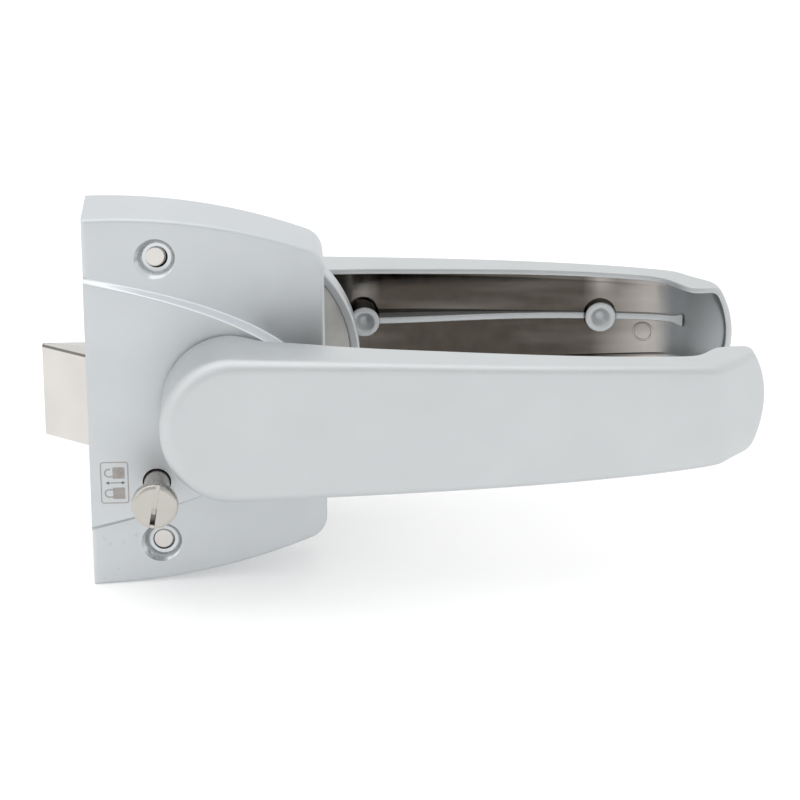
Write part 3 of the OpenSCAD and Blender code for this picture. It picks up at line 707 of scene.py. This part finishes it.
def middle_body(s, name, looks):
    """The raised middle: its crest is half an ellipse, its side falls outwards in a straight line to the
    sloping front, with a rounded crest, and flares to meet the front in a small cove. It is built past the
    latch edge and cut there."""
    edge, past = s.left / MM + 0.03, 2.0
    crest = laid(half_ellipse(edge - past, *MIDDLE_CREST, 120), s.front / MM)
    foot = half_ellipse(edge - past, *MIDDLE_FOOT, 120)
    base = laid(foot, face_at(s, foot[:, 0]))
    fall = base - crest
    length = np.linalg.norm(fall, axis=1)[:, None]
    fall /= length
    out = fall * [1, 0, 1]
    out /= np.linalg.norm(out, axis=1)[:, None]
    level = out.copy()
    level[:, 1] = out[:, 0] * math.tan(s.slope)
    soft, cove = np.minimum(0.4, 0.35 * length), np.minimum(0.25, 0.3 * length)
    end = base + level * cove + [0, -0.02, 0]
    t = np.linspace(0, 1, 6)[:, None, None]
    round_crest = bend(crest - out * soft, crest, crest + fall * soft, t)
    round_cove = bend(base - fall * cove, base, end, t)
    rows = np.concatenate([
        round_crest, mix(round_crest[-1:], round_cove[:1], 0.5), round_cove, end[None] + [0, 1.6, 0]
    ])
    closing = np.linspace(0, 1, 32)[None, 1:-1, None]
    rows = np.concatenate([rows, mix(rows[:, -1:], rows[:, :1], closing)], 1)
    core, inside = np.array([-10.0, 0.0]), -17.0
    caps = np.repeat(rows[:1], 3, 0)
    for cap, q in zip(caps, (1.0, 0.6, 0.3)):
        cap[:, [0, 2]] = mix(cap[:, [0, 2]], core, q)
    under = np.broadcast_to([core[0], inside, core[1]], rows[:1].shape)
    # The step has its own finish, with a painted highlight on its upper half, and the top and what lies inside
    # the case have the case's
    kinds = np.array([0] * 5 + [2] * 9 + [0] * 3)
    middle = surface(name, [(np.concatenate([caps, rows, under]), False, kinds)], finishes=looks)
    keep = stacked(box_loop(edge, -40, 60, 5, 0.01, 1), [(0, -60), (0, 60)], axis=2)
    return carve(middle, [surface("latch_side", [keep], finishes=looks)], "INTERSECT")


def middle_hollow(s):
    """The hollow behind the raised middle: half an ellipse set in by the wall, straight back from the inside
    of the front."""
    wall = s.wall / MM
    long, short = MIDDLE_CREST
    outline = half_ellipse(s.left / MM + wall, long - wall, short - wall, 60)
    return stacked(outline, [(0, s.front / MM + wall), (0, -6)])


def stud_sink(front, side):
    """The countersink of a stud: a cone from the front, a step, and a bore through the wall."""
    profile = [
        (0, front - 3), (7.8, front - 3), (4.95, front), (3.9, front + 0.9), (3.45, front + 2.1),
        (2.65, front + 2.2), (2.65, 5), (0, 5)
    ]
    return turned(profile, (STUD_X + 0.3 + 0.15 * side, side * STUD_Z), finish=1)


class LOCK_OT_case(LockTools):
    """Build the cast case with its raised middle, its hollow and its holes"""
    bl_idname = "lock.build_case"
    bl_label = "Lock case"

    def execute(self, context):
        s = context.scene.lock_case
        looks = [finish_of("case"), finish_of("sink"), finish_of("band")]
        body = case_body(s, "lock_case_cover", 0.0, 0.0, case_high.y / MM, s.fillet / MM, looks)
        middle = middle_body(s, "raised_middle", looks)
        carve(body, [middle], "UNION")
        wall = s.wall / MM
        front = float(face_at(s, STUD_X))
        slot = stacked(box_loop(*BOLT_OPENING, 0.4), [(0, -BOLT_HALF), (0, BOLT_HALF)], axis=2)
        knob_hole = turned(rounded(rod(3.45, -40, -10), 0.01), KNOB_HOLE, turns=48)
        tools = [
            case_body(s, "cavity", wall, wall, 2.0, 0.8),
            surface("middle_cavity", [middle_hollow(s)]),
            surface("pivot_hole", [turned(rod(11.2, -40, -10))]),
            surface("knob_hole", [knob_hole]),
            surface("stud_sink", [stud_sink(front, -1)], finishes=looks),
            surface("stud_sink", [stud_sink(front, 1)], finishes=looks),
            surface("bolt_opening", [slot]),
        ]
        carve(body, tools)
        settle(body, "case", ["lock_case"], looks)
        return {"FINISHED"}


# The levers

# The taper ends at this share of the length, and its curve has this power
TAPER_END, TAPER_POWER = 0.92, 0.78
# The facet is steep, so its wall reaches this many times further along the depth
FACET_WALL = 1.62


def lever_half_width(s, x):
    """Half width along the lever: the hub radius falls to the tip half width along a power curve."""
    hub, tip = s.hub / MM, s.tip_width / MM
    return mix(tip, hub, (1 - ramp(x, 0, TAPER_END * s.length / MM)) ** TAPER_POWER)


# The outer face: where it starts to come in, by how much, and the length and the slope of the facet at the tip
BEND_START, BEND, FACET, FACET_SLOPE = 50.0, 5.3, 12.5, 1.27
# The pins in the hollow, in metres along X
PIN_X = (0.0342, 0.0963)
# The hollow opens between these places along X
OPENING = (17.0, 23.0)
# The open rim: places along X, and its heights above the back of the hub
RIM_X = (
    -18, 0.5, 2.5, 4.5, 6.5, 8.5, 12, 16, 19, 25, 34, 44, 58, 72, 84, 92, 101, 108.5,
    111.8, 114.3, 116.8, 119, 129
)
RIM_RISE = (
    0, 0, -0.8, -2.4, -3.8, -4.7, -5.1, -5.7, -6.3, -7.6, -8.9, -9.7, -10.7, -11.4, -11.5, -11.2, -10.3, -9.1,
    -7.6, -3.8, -0.2, 0.85, 1.0
)
# The radius of the outer edge: places along X, and the radius there
EDGE_X = (-18, -6, 6, 40, 100, 120)
EDGE_RADIUS = (3.8, 3.4, 2.6, 2.0, 1.9, 2.4)


def lever_face(s, x):
    """Depth of the outer face along its spine: level over the hub, a slow curve towards the door, then the
    steep facet of the tip. Both parts are given, for the caller to join."""
    end = s.length / MM - FACET
    slow = s.face / MM + BEND * ramp(x, BEND_START, end) ** 2.15
    return slow, s.face / MM + BEND + (x - end) * FACET_SLOPE


def lever_outside(s, x):
    """The two parts of the outer face joined by a soft bend."""
    slow, facet = lever_face(s, x)
    return smooth_max(slow, facet, 1.8)


def lever_rim(s, x):
    """Depth of the open rim: a table of heights above the back of the hub, smoothed over three millimetres."""
    places = np.linspace(-1.5, 1.5, 13)
    return s.back / MM + np.mean([np.interp(x + p, RIM_X, RIM_RISE) for p in places], axis=0)


def lever_outline(s):
    """The lever's outline, and for each of its points the place on the spine that its section aims at. The
    hub is a circle, the sides follow the half width, and the tip is a flat arc with rounded corners."""
    hub, length = s.hub / MM, s.length / MM
    crown, corner = 23.0, 2.9
    corner_x0 = length - crown
    width = float(lever_half_width(s, length - 5.0))
    cz = width - corner
    cx = corner_x0 + math.sqrt((crown - corner) ** 2 - cz * cz)
    a = np.linspace(math.pi, math.pi / 2, 26)[:-1]
    # Places along the side, closest together where the rim bends beside the hub and before the tip
    x = np.concatenate([
        np.linspace(0, 10, 7)[:-1], np.linspace(10, 27, 22)[:-1], np.linspace(27, 104, 34)[:-1],
        np.linspace(104, 120, 30)[:-1], np.linspace(120, cx, 4)[:-1]
    ])
    phi = math.atan2(cz, cx - corner_x0)
    b = np.linspace(math.pi / 2, phi, 9)[:-1]
    c = np.linspace(phi, 0, 15)
    upper = np.concatenate([
        np.stack([(hub - 0.7) * np.cos(a), hub * np.sin(a)], 1),
        np.stack([x, lever_half_width(s, x)], 1),
        np.stack([cx + corner * np.cos(b), cz + corner * np.sin(b)], 1),
        np.stack([corner_x0 + crown * np.cos(c), crown * np.sin(c)], 1),
    ])
    aim = np.stack([np.clip(upper[:, 0], 0, length - 10.0), 0 * upper[:, 0]], 1)
    lower = slice(-2, 0, -1)
    return np.concatenate([upper, upper[lower] * [1, -1]]), np.concatenate([aim, aim[lower]])


def lever_floor(s, x):
    """Depth of the floor of the hollow: the outer face set in by the wall, curving up into the tip."""
    slow, facet = lever_face(s, x)
    wall = s.wall / MM
    return smooth_max(slow + wall, facet + wall * FACET_WALL, 4.0)


def lever_skin(s):
    """The closed skin of a lever. Each section runs from the spine along the hollow's floor, up its wall, over
    the rim, down the outside, round the outer edge and back over the outer face to the spine."""
    outline, aim = lever_outline(s)
    reach = np.linalg.norm(aim - outline, axis=1)
    x_out = outline[:, 0]
    wall, lip, rim = s.wall / MM, 0.35, lever_rim(s, x_out)
    rows, finish = [], []

    def at(d):
        return outline + (aim - outline) * np.minimum(d / reach, 1.0)[:, None]

    def outer(p):
        width = lever_half_width(s, np.maximum(p[:, 0], 0))
        return lever_outside(s, p[:, 0]) + 0.35 * (p[:, 1] / width) ** 2

    def opened(x):
        return smooth(ramp(x, *OPENING))

    def floor(p):
        return mix(rim, np.minimum(lever_floor(s, p[:, 0]), rim - 0.02), opened(p[:, 0]))

    def add(d, depth, kind):
        p = at(d)
        rows.append(laid(p, depth(p) if callable(depth) else depth))
        finish.append(kind)

    depth_here = rim - lip - floor(at(wall))
    foot = np.clip(0.6 * depth_here, 0.0, 1.6) * opened(x_out)
    for q in np.linspace(1, 0, 9):
        add(mix(wall + foot, reach, q), floor, 1)
    for a in np.linspace(0, math.pi / 2, 5)[1:]:
        rise = foot * (1 - math.cos(a))
        add(wall + foot * (1 - math.sin(a)), lambda p, rise=rise: np.minimum(floor(p) + rise, rim - 0.01), 1)
    low = np.minimum(floor(at(wall)) + foot, rim - lip)
    for q in (0.3, 0.6, 1.0):
        add(wall, mix(low, rim - lip, q), 1)
    for a in np.linspace(0, math.pi / 2, 4)[1:]:
        add(wall - lip * (1 - math.cos(a)), rim - lip * (1 - math.sin(a)), 0)
    for a in np.linspace(0, math.pi / 2, 4):
        add(lip * (1 - math.sin(a)), rim - lip * (1 - math.cos(a)), 0)
    edge = np.interp(x_out, EDGE_X, EDGE_RADIUS)
    edge = np.minimum(edge, 0.42 * (rim - lip - outer(outline)))
    for q in (0.25, 0.5, 0.75):
        add(0, mix(rim - lip, outer(outline) + edge, q), 0)
    for a in np.linspace(0, math.pi / 2, 8):
        rise = edge * (1 - math.sin(a))
        add(edge * (1 - math.cos(a)), lambda p, rise=rise: outer(p) + rise, 0)
    for q in np.linspace(0, 1, 16)[1:]:
        add(mix(edge, reach, q), outer, 0)
    return np.array(rows), False, np.array(finish[:-1])


def lever_rib(s):
    """The rib along the hollow: a narrow bar that falls from the near pin to the far one, keeps low at each
    pin, and is flared where it meets the curve of the tip."""
    x = np.concatenate([np.linspace(19, 108, 150), np.linspace(108, 117.2, 14)[1:]])
    clear = np.min([ramp(np.abs(x - pin / MM), 2.7, 3.6) for pin in PIN_X], axis=0)
    height = mix(4.4, 0.9, smooth(ramp(x, 34.0, 88.0)))
    top = lever_floor(s, x) + mix(0.2, height, clear)
    low = lever_outside(s, x) + 0.9
    half = 0.9 + 0.7 * smooth(ramp(x, 114.6, 116.8))
    r, section = 0.35, []
    for side, first in ((1, 0), (-1, math.pi / 2)):
        for a in np.linspace(first, first + math.pi / 2, 4):
            section.append((side * (half - r) + r * np.cos(a), top - r + r * np.sin(a)))
    section += [(-half - 0.1, low), (half + 0.1, low)]
    grid = np.array([np.column_stack([x, y, z]) for z, y in section]).transpose(1, 0, 2)
    return closed(grid), False, 0


def lever_pin(s, x, height):
    """A pin on the floor of the hollow: drafted side, rounded rim and a conical recess."""
    floor = float(lever_floor(s, np.array([x]))[0])
    top = floor + height
    profile = rounded([
        (0, floor - 0.8), (4.35, floor - 0.8), (4.35, floor + 0.2), (4.0, top), (2.45, top), (1.1, top - 2.1),
        (0, top - 2.3)
    ], 0.45, 3)
    grid, wrap, kind = turned(profile, (x, 0.0), turns=56)
    recess = (profile[1:, 0] < 2.6) & (np.arange(1, len(profile)) > len(profile) / 2)
    return grid, wrap, np.where((profile[1:, 1] > top - 0.4) | recess, 0, 1)


def lever_mark(s, x, z):
    """The round mark that an ejector leaves: a shallow raised ring on the floor."""
    floor = float(lever_floor(s, np.array([x]))[0])
    slope = float(lever_floor(s, np.array([x + 0.5]))[0] - lever_floor(s, np.array([x - 0.5]))[0])
    grid, wrap, kind = turned(rounded([
        (0, floor - 0.5), (2.65, floor - 0.5), (2.65, floor + 0.16), (2.2, floor + 0.16), (2.1, floor + 0.05),
        (0, floor + 0.05)], 0.12, 2), (x, z), turns=48)
    grid[:, :, 1] += (grid[:, :, 0] - x) * slope
    return grid, wrap, 1


# How far the spigot and the grub screw's axis are set in from the back of the hub
SPIGOT = 8.0


def grub_hole(s):
    """A tool for the grub screw's hole, a short cylinder that comes up from under the hub."""
    grid, wrap, kind = turned(rod(2.54, -22, -12.9), turns=40)
    depth = s.back / MM - SPIGOT
    upright = np.stack([grid[:, :, 0], grid[:, :, 2] + depth, grid[:, :, 1]], 2)
    return surface("grub_hole", [(upright, wrap, kind)])


class LOCK_OT_levers(LockTools):
    """Build both levers with their hollows, ribs, pins and spigots"""
    bl_idname = "lock.build_levers"
    bl_label = "Levers"

    def execute(self, context):
        s = context.scene.lock_lever
        middle = (lever_low.y + outer_high.y) / 2 / MM
        back = s.back / MM
        spigot = [(5.9, back - SPIGOT), (10, back - SPIGOT), (10, back + 3.8), (5.9, back + 3.8)]
        mirrored = Matrix.Translation((0, 2 * middle * MM, 0)) @ Matrix.Diagonal((1, -1, 1, 1))
        looks = [finish_of("satin"), finish_of("plated")]
        for node in ("inner_lever", "outer_lever"):
            skin = surface(f"{node}_casting", [lever_skin(s)], 40.0, finishes=looks)
            carve(skin, [grub_hole(s)], sharp=40.0)
            join(skin, surface("details", [
                lever_rib(s), lever_pin(s, PIN_X[0] / MM, 5.4), lever_pin(s, PIN_X[1] / MM, 2.4),
                lever_mark(s, s.length / MM - 21.0, -4.2), turned(rounded(spigot, 0.3), wrap=True),
            ], 40.0, finishes=looks))
            if node == "outer_lever":
                skin.data.transform(mirrored)
                skin.data.flip_normals()
            shade(skin, 40.0)
            settle(skin, "levers", [node], looks)
        return {"FINISHED"}


# Latch bolt, knob, rosette and pictogram

class LOCK_OT_latch_spring(LockTools):
    """Build the coil spring behind the latch bolt, which the bolt presses together as it slides in"""
    bl_idname = "lock.build_latch_spring"
    bl_label = "Latch spring"

    def execute(self, context):
        low, high = [np.array(corner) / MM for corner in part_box("latch_spring")]
        coils, wire = 7, 0.55
        middle = (low + high) / 2
        radius = (high - low)[1] / 2 - wire
        turn = np.linspace(0, 2 * coils * math.pi, coils * 28 + 1)[:, None]
        round_wire = np.linspace(0, 2 * math.pi, 10, endpoint=False)[None]
        out = radius + wire * np.cos(round_wire)
        coil = np.stack([
            mix(low[0] + wire, high[0] - wire, turn / turn[-1]) + wire * np.sin(round_wire),
            middle[1] + out * np.cos(turn), middle[2] + out * np.sin(turn)], 2)
        spring = surface("latch_coil_spring", [(closed(coil), False, 0)], 60.0)
        settle(spring, "case", ["latch_spring"], [finish_of("steel")])
        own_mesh(spring)
        return {"FINISHED"}


class LOCK_OT_bolt(LockTools):
    """Build the bevelled latch bolt with its spring channel and tail slot"""
    bl_idname = "lock.build_bolt"
    bl_label = "Latch bolt"

    def execute(self, context):
        x0, x1 = bolt_low.x / MM, bolt_high.x / MM
        y0, y1 = bolt_low.y / MM, bolt_high.y / MM
        half, land = bolt_high.z / MM, 2.0
        bevel = (y1 - y0 - land) * 1.16
        loop = rounded_loop([(x0, y1), (x0, y1 - land), (x0 + bevel, y0), (x1, y0), (x1, y1)], 0.45, 4)
        # The rounded upper edge takes the dark finish: a painted dark reflection along that edge
        kinds = np.array([0, 0, 0, 0, 0, 0, 1, 1, 1, 1, 0])
        looks = [finish_of("nickel"), finish_of("painted_dark")]
        head = stacked(loop, round_levels(-half, half, 0.5), axis=2, finish=kinds)
        bolt = surface("latch_bolt_head", [head], 35.0, finishes=looks)
        channel = [(x0 + 11.5, y0 + 2), (x0 + 11.5, y1 + 1), (x1 + 1, y1 + 1), (x1 + 1, y0 + 2)]
        tail = [(x1 - 8, y1 - 4.2), (x1 - 8, y1 - 1.5), (x1 + 1, y1 - 1.5), (x1 + 1, y1 - 4.2)]
        tools = [
            surface("channel", [stacked(rounded_loop(channel, 0.1), [(0, -10.6), (0, -2.6)], axis=2)]),
            surface("tail_slot", [stacked(rounded_loop(tail, 0.1), [(0, 0.0), (0, half + 1)], axis=2)]),
        ]
        for x in (-6.0, -2.5):
            tools.append(surface("pin_hole", [turned(rod(1.2, y1 - 8.1, y1 + 1), (x1 + x, 5.5), turns=32)]))
        carve(bolt, tools, sharp=35.0)
        settle(bolt, "latch", ["latch_bolt"], looks)
        return {"FINISHED"}


class LOCK_OT_knob(LockTools):
    """Build the slotted knob head and its stem"""
    bl_idname = "lock.build_knob"
    bl_label = "Knob"

    def execute(self, context):
        cx, cz = (head_low.x + head_high.x) / 2 / MM, (head_low.z + head_high.z) / 2 / MM
        r = (head_high.x - head_low.x) / 2 / MM + 0.15
        y0, y1 = head_low.y / MM, head_high.y / MM
        looks = [finish_of("nickel_turned"), finish_of("painted_dark")]
        profile = rounded([
            (0, y0), (r - 0.9, y0), (r - 0.15, y0 + 0.35), (r, y0 + 1.1), (r, y1 - 0.3), (r - 0.3, y1),
            (3.4, y1), (3.2, y1 - 0.4), (0, y1 - 0.4)
        ], 0.4, 4)
        head = surface("knob_slotted_head", [turned(profile, (cx, cz), turns=96)], 30.0, finishes=looks)
        # The slot across the head, and the deep narrow notch in its lower half
        turn = math.radians(-10)
        spin = np.array([[math.cos(turn), math.sin(turn)], [-math.sin(turn), math.cos(turn)]])
        cuts = []
        # The deep notch's walls take the dark finish: painted shade in the notch
        for kind, (half, z0, z1, deep) in enumerate(((0.5, -r - 2, r + 2, 0.6), (0.62, -r + 0.9, -0.3, 2.4))):
            box = box_loop(-half, z0, half, z1, 0.05) @ spin + [cx, cz]
            cut = stacked(box, [(0, y0 - 1), (0, y0 + deep)], finish=kind)
            cuts.append(surface("slot", [cut], finishes=looks))
        carve(head, cuts, sharp=30.0)
        settle(head, "knob", ["knob_head"], looks)
        # The stem: a neck in the head, the round stem, and a groove near its end for the clip
        end, sr = stem_high.y / MM, (stem_high.x - stem_low.x) / 2 / MM
        profile = rounded([
            (0, y1 - 0.8), (sr - 0.4, y1 - 0.8), (sr - 0.4, y1 + 1.1), (sr, y1 + 1.3), (sr, end - 4.0),
            (sr - 1, end - 4.0), (sr - 1, end - 0.95), (sr - 1.4, end - 0.95), (sr - 1.4, end - 0.45),
            (sr - 1, end - 0.45), (sr - 1, end), (0, end)
        ], 0.15, 2)
        stem = surface("knob_round_stem", [turned(profile, (cx, cz), turns=64)], 30.0)
        settle(stem, "knob", ["knob_stem"], [finish_of("nickel_turned")])
        return {"FINISHED"}


class LOCK_OT_rosette(LockTools):
    """Build the round rosette on the far side of the door"""
    bl_idname = "lock.build_rosette"
    bl_label = "Outer rosette"

    def execute(self, context):
        r, y0, y1 = rosette_high.x / MM, rosette_low.y / MM, rosette_high.y / MM
        profile = rounded([
            (r - 2.3, y0 + 2), (r - 2.3, y0 + 0.25), (r - 2.05, y0), (r - 0.5, y0), (r, y0 + 0.5), (r, y1 - 5),
            (r - 1.5, y1 - 2), (r - 5, y1), (11.5, y1), (11.22, y1 - 0.3), (11.22, y1 - 2.3), (r - 6, y1 - 2.3),
            (r - 2.3, y1 - 5.5), (r - 2.3, y0 + 2)
        ], 1.2, 5)
        rosette = surface("rosette_cup", [turned(profile[:-1], wrap=True, turns=128)])
        settle(rosette, "case", ["outer_rosette"], [finish_of("satin")])
        return {"FINISHED"}


def ribbon(path, width, low, high):
    """A flat line of ink: the path's left and right edges joined in one outline."""
    path = np.asarray(path, float)
    along = np.gradient(path, axis=0)
    along /= np.linalg.norm(along, axis=1)[:, None]
    off = np.stack([-along[:, 1], along[:, 0]], 1) * width / 2
    left, right = path + off, path - off
    section = [laid(left, low), laid(right, low), laid(right, high), laid(left, high)]
    return closed(np.array(section).transpose(1, 0, 2)), False, 0


def ring_line(loop, width, low, high):
    """A closed line of ink: the outline and a copy set in by the width, joined top and bottom."""
    inner = inward(loop, width)
    return np.array([laid(loop, low), laid(inner, low), laid(inner, high), laid(loop, high)]), True, 0


class LOCK_OT_pictogram(LockTools):
    """Build the printed sign of an open and a closed padlock"""
    bl_idname = "lock.build_pictogram"
    bl_label = "Pictogram"

    def execute(self, context):
        top = context.scene.lock_case.front / MM
        low, high = top - 0.03, top + 0.05
        slab = [(0, low), (0, high)]
        x0, x1, z0, z1 = -32.2, -25.4, -24.7, -14.05
        line, thick_line = 0.26, 0.34
        parts = [ring_line(box_loop(x0, z0, x1, z1, 0.85, 6), line, low, high)]
        # The padlocks lie on their backs: a body, and a shackle that is an arc between two straight legs
        bx0, bx1, half, r = x0 + 2.95, x1 - 0.95, 1.45, 0.95
        a = np.linspace(-math.pi / 2, -1.5 * math.pi, 15)
        for middle, leg_end in ((-16.9, bx0 - 0.55), (-22.1, bx0 + 0.05)):
            parts.append(stacked(box_loop(bx0, middle - half, bx1, middle + half, 0.15, 3), slab))
            arc = np.stack([bx0 - r + r * np.cos(a), middle + r * np.sin(a)], 1)
            shackle = np.concatenate([[[bx0 + 0.05, middle - r]], arc, [[leg_end, middle + r]]])
            parts.append(ribbon(shackle, thick_line, low, high))
        # The arrow between them, with a head at each end
        mid_z = (z0 + z1) / 2 - 0.05
        parts.append(ribbon([(x0 + 1.6, mid_z), ((x0 + x1) / 2, mid_z), (x1 - 1.2, mid_z)], line, low, high))
        for tip, way in ((x0 + 1.1, 1), (x1 - 0.75, -1)):
            wide = 0.5 * way
            head = [(tip, mid_z), (tip + way * 0.95, mid_z - wide), (tip + way * 0.95, mid_z + wide)]
            parts.append(stacked(rounded_loop(head, 0.05, 2), slab))
        sign = surface("lock_pictogram", parts, coarse=0.0005)
        settle(sign, "case", [], [finish_of("ink")])
        return {"FINISHED"}


# CAD nodes that stay, by their finish
KEPT = {
    "steel": (
        "case_screws", "lever_return_spring", "spring_post", "detent_ball", "detent_spring", "detent_plug",
        "through_screws", "spindle", "follower", "follower_pin", "bolt_tail", "tail_pins", "lock_dog",
        "back_plate",
    ),
    "nickel": ("fixing_stud_upper", "fixing_stud_lower"),
    "plate": ("rosette_base",),
    "black_steel": ("inner_grub_screw", "outer_grub_screw", "dog_clip"),
    "nylon": ("bolt_guide", "inner_lever_bush", "outer_lever_bush", "through_sleeves", "knob_bush"),
}
# Those of them whose edges get a small bevel
ROUNDED_NODES = ("fixing_stud_upper", "fixing_stud_lower", "case_screws", "rosette_base", "through_sleeves")


class LOCK_OT_hardware(LockTools):
    """Give the CAD nodes that stay their finishes"""
    bl_idname = "lock.finish_hardware"
    bl_label = "Hardware"

    def execute(self, context):
        for kind, names in KEPT.items():
            for name in names:
                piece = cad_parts[name]
                if not piece.material_slots:
                    piece.data.materials.append(None)
                for place in piece.material_slots:
                    place.material = finish_of(kind)
                if name in ROUNDED_NODES:
                    weld = piece.modifiers.new("weld", "WELD")
                    weld.merge_threshold = 1e-5
                    bevel = piece.modifiers.new("bevel", "BEVEL")
                    bevel.width, bevel.segments = 0.00015, 2
                    bevel.limit_method, bevel.angle_limit = "ANGLE", math.radians(28)
        return {"FINISHED"}


# Stage

CAMERA_PLACE = (0.00914483, -0.72427656, 0.22772391)
# The camera's right, up and ahead, as fitted to the photo
CAMERA_AXES = (
    (0.99889904, -0.04655051, -0.00580964),
    (0.01990468, 0.30842999, 0.95103877),
    (0.04247948, 0.95010736, -0.30901699),
)
# The direction of a dimmer patch in the room, high behind the camera
DIM_PATCH = (0.0, -0.83, 0.56)


def lamp(name, size, power, place, target):
    """A square area lamp at a place, turned towards a target."""
    light = bpy.data.lights.new(name, "AREA")
    light.shape, light.size, light.energy = "SQUARE", size, power
    holder = bpy.data.objects.new(name, light)
    bpy.context.scene.collection.objects.link(holder)
    holder.location = place
    holder.rotation_euler = (Vector(target) - Vector(place)).to_track_quat("-Z", "Y").to_euler()


class LOCK_OT_stage(LockTools):
    """Set the floor, the soft lamps, the world and the camera"""
    bl_idname = "lock.set_stage"
    bl_label = "Stage"

    def execute(self, context):
        s = context.scene.lock_stage
        scene = context.scene
        scene.view_settings.view_transform = "Standard"
        # The floor: a thin disc, with its top under the lock
        a = np.linspace(0, 2 * math.pi, 64, endpoint=False)
        ring = np.stack([np.cos(a), np.sin(a)], 1)
        level = np.full(len(a), cad_low.z / MM)
        top = np.array([np.column_stack([radius * ring, level]) for radius in (0.0, 300.0, 1200.0, 6000.0)])
        floor = surface("floor", [(np.concatenate([top, top[::-1] - [0, 0, 5.0]]), False, 0)])
        floor.data.materials.append(floor_finish("floor_sweep", s.floor_colour, s.floor_lift))

        # The room: even light on the object, and white where it is seen, except for the dimmer patch
        scene.world = bpy.data.worlds.new("studio")
        f = Finish("studio", scene.world)
        away = f.distance(f.node("ShaderNodeTexCoord", output="Generated"), DIM_PATCH)
        light = f.node("ShaderNodeBackground", None, {"Color": WHITE, "Strength": s.room_light})
        view = f.node("ShaderNodeBackground", None, {
            "Color": WHITE, "Strength": f.between(away, 0.38, 0.78, 0.67, 1.0)})
        both = f.node("ShaderNodeMixShader", None, {0: f.seen(), 1: light, 2: view})
        f.node("ShaderNodeOutputWorld", None, {"Surface": both})

        lamp("overhead_lamp", 1.0, s.lamp_power, (-0.15, -0.1, 0.9), (0.02, 0, 0))
        lamp("left_lamp", 0.7, s.lamp_power * 0.4, (-0.9, -0.5, 0.5), (0, 0, 0))

        camera_data = bpy.data.cameras.new("camera")
        camera_data.lens = s.focal_length
        camera_data.sensor_width = 36.0
        camera_data.clip_start, camera_data.clip_end = 0.05, 50.0
        camera = bpy.data.objects.new("camera", camera_data)
        scene.collection.objects.link(camera)
        right, up, ahead = CAMERA_AXES
        axes = Matrix((right, up, [-c for c in ahead])).transposed().to_4x4()
        camera.matrix_world = Matrix.Translation(CAMERA_PLACE) @ axes
        scene.camera = camera
        return {"FINISHED"}


OPERATORS = (
    LOCK_OT_stage, LOCK_OT_case, LOCK_OT_levers, LOCK_OT_bolt, LOCK_OT_latch_spring, LOCK_OT_knob,
    LOCK_OT_rosette, LOCK_OT_pictogram, LOCK_OT_hardware,
)
GROUPS = {
    "lock_case": LockCaseSizes, "lock_lever": LeverSizes, "lock_colours": LockColours,
    "lock_stage": StageSettings,
}


class LOCK_PT_panel(bpy.types.Panel):
    """Lists the lock's pieces and sizes"""
    bl_idname = "LOCK_PT_panel"
    bl_label = "Lever Lock"
    bl_space_type = "VIEW_3D"
    bl_region_type = "UI"
    bl_category = "Lever Lock"

    def draw(self, context):
        for name, group in GROUPS.items():
            box = self.layout.box()
            for key in group.__annotations__:
                box.prop(getattr(context.scene, name), key)
        for operator in OPERATORS:
            self.layout.operator(operator.bl_idname)


def register():
    """Adds the classes and the scene's settings."""
    for kind in (*GROUPS.values(), *OPERATORS, LOCK_PT_panel):
        bpy.utils.register_class(kind)
    for name, group in GROUPS.items():
        setattr(bpy.types.Scene, name, PointerProperty(type=group))


def unregister():
    """Takes them out again."""
    for name in GROUPS:
        delattr(bpy.types.Scene, name)
    for kind in (LOCK_PT_panel, *OPERATORS[::-1], *GROUPS.values()):
        bpy.utils.unregister_class(kind)


def main():
    """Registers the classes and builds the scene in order."""
    register()
    bpy.ops.lock.set_stage()
    bpy.ops.lock.build_case()
    bpy.ops.lock.build_levers()
    bpy.ops.lock.build_bolt()
    bpy.ops.lock.build_latch_spring()
    bpy.ops.lock.build_knob()
    bpy.ops.lock.build_rosette()
    bpy.ops.lock.build_pictogram()
    bpy.ops.lock.finish_hardware()


if __name__ == "__main__":
    main()
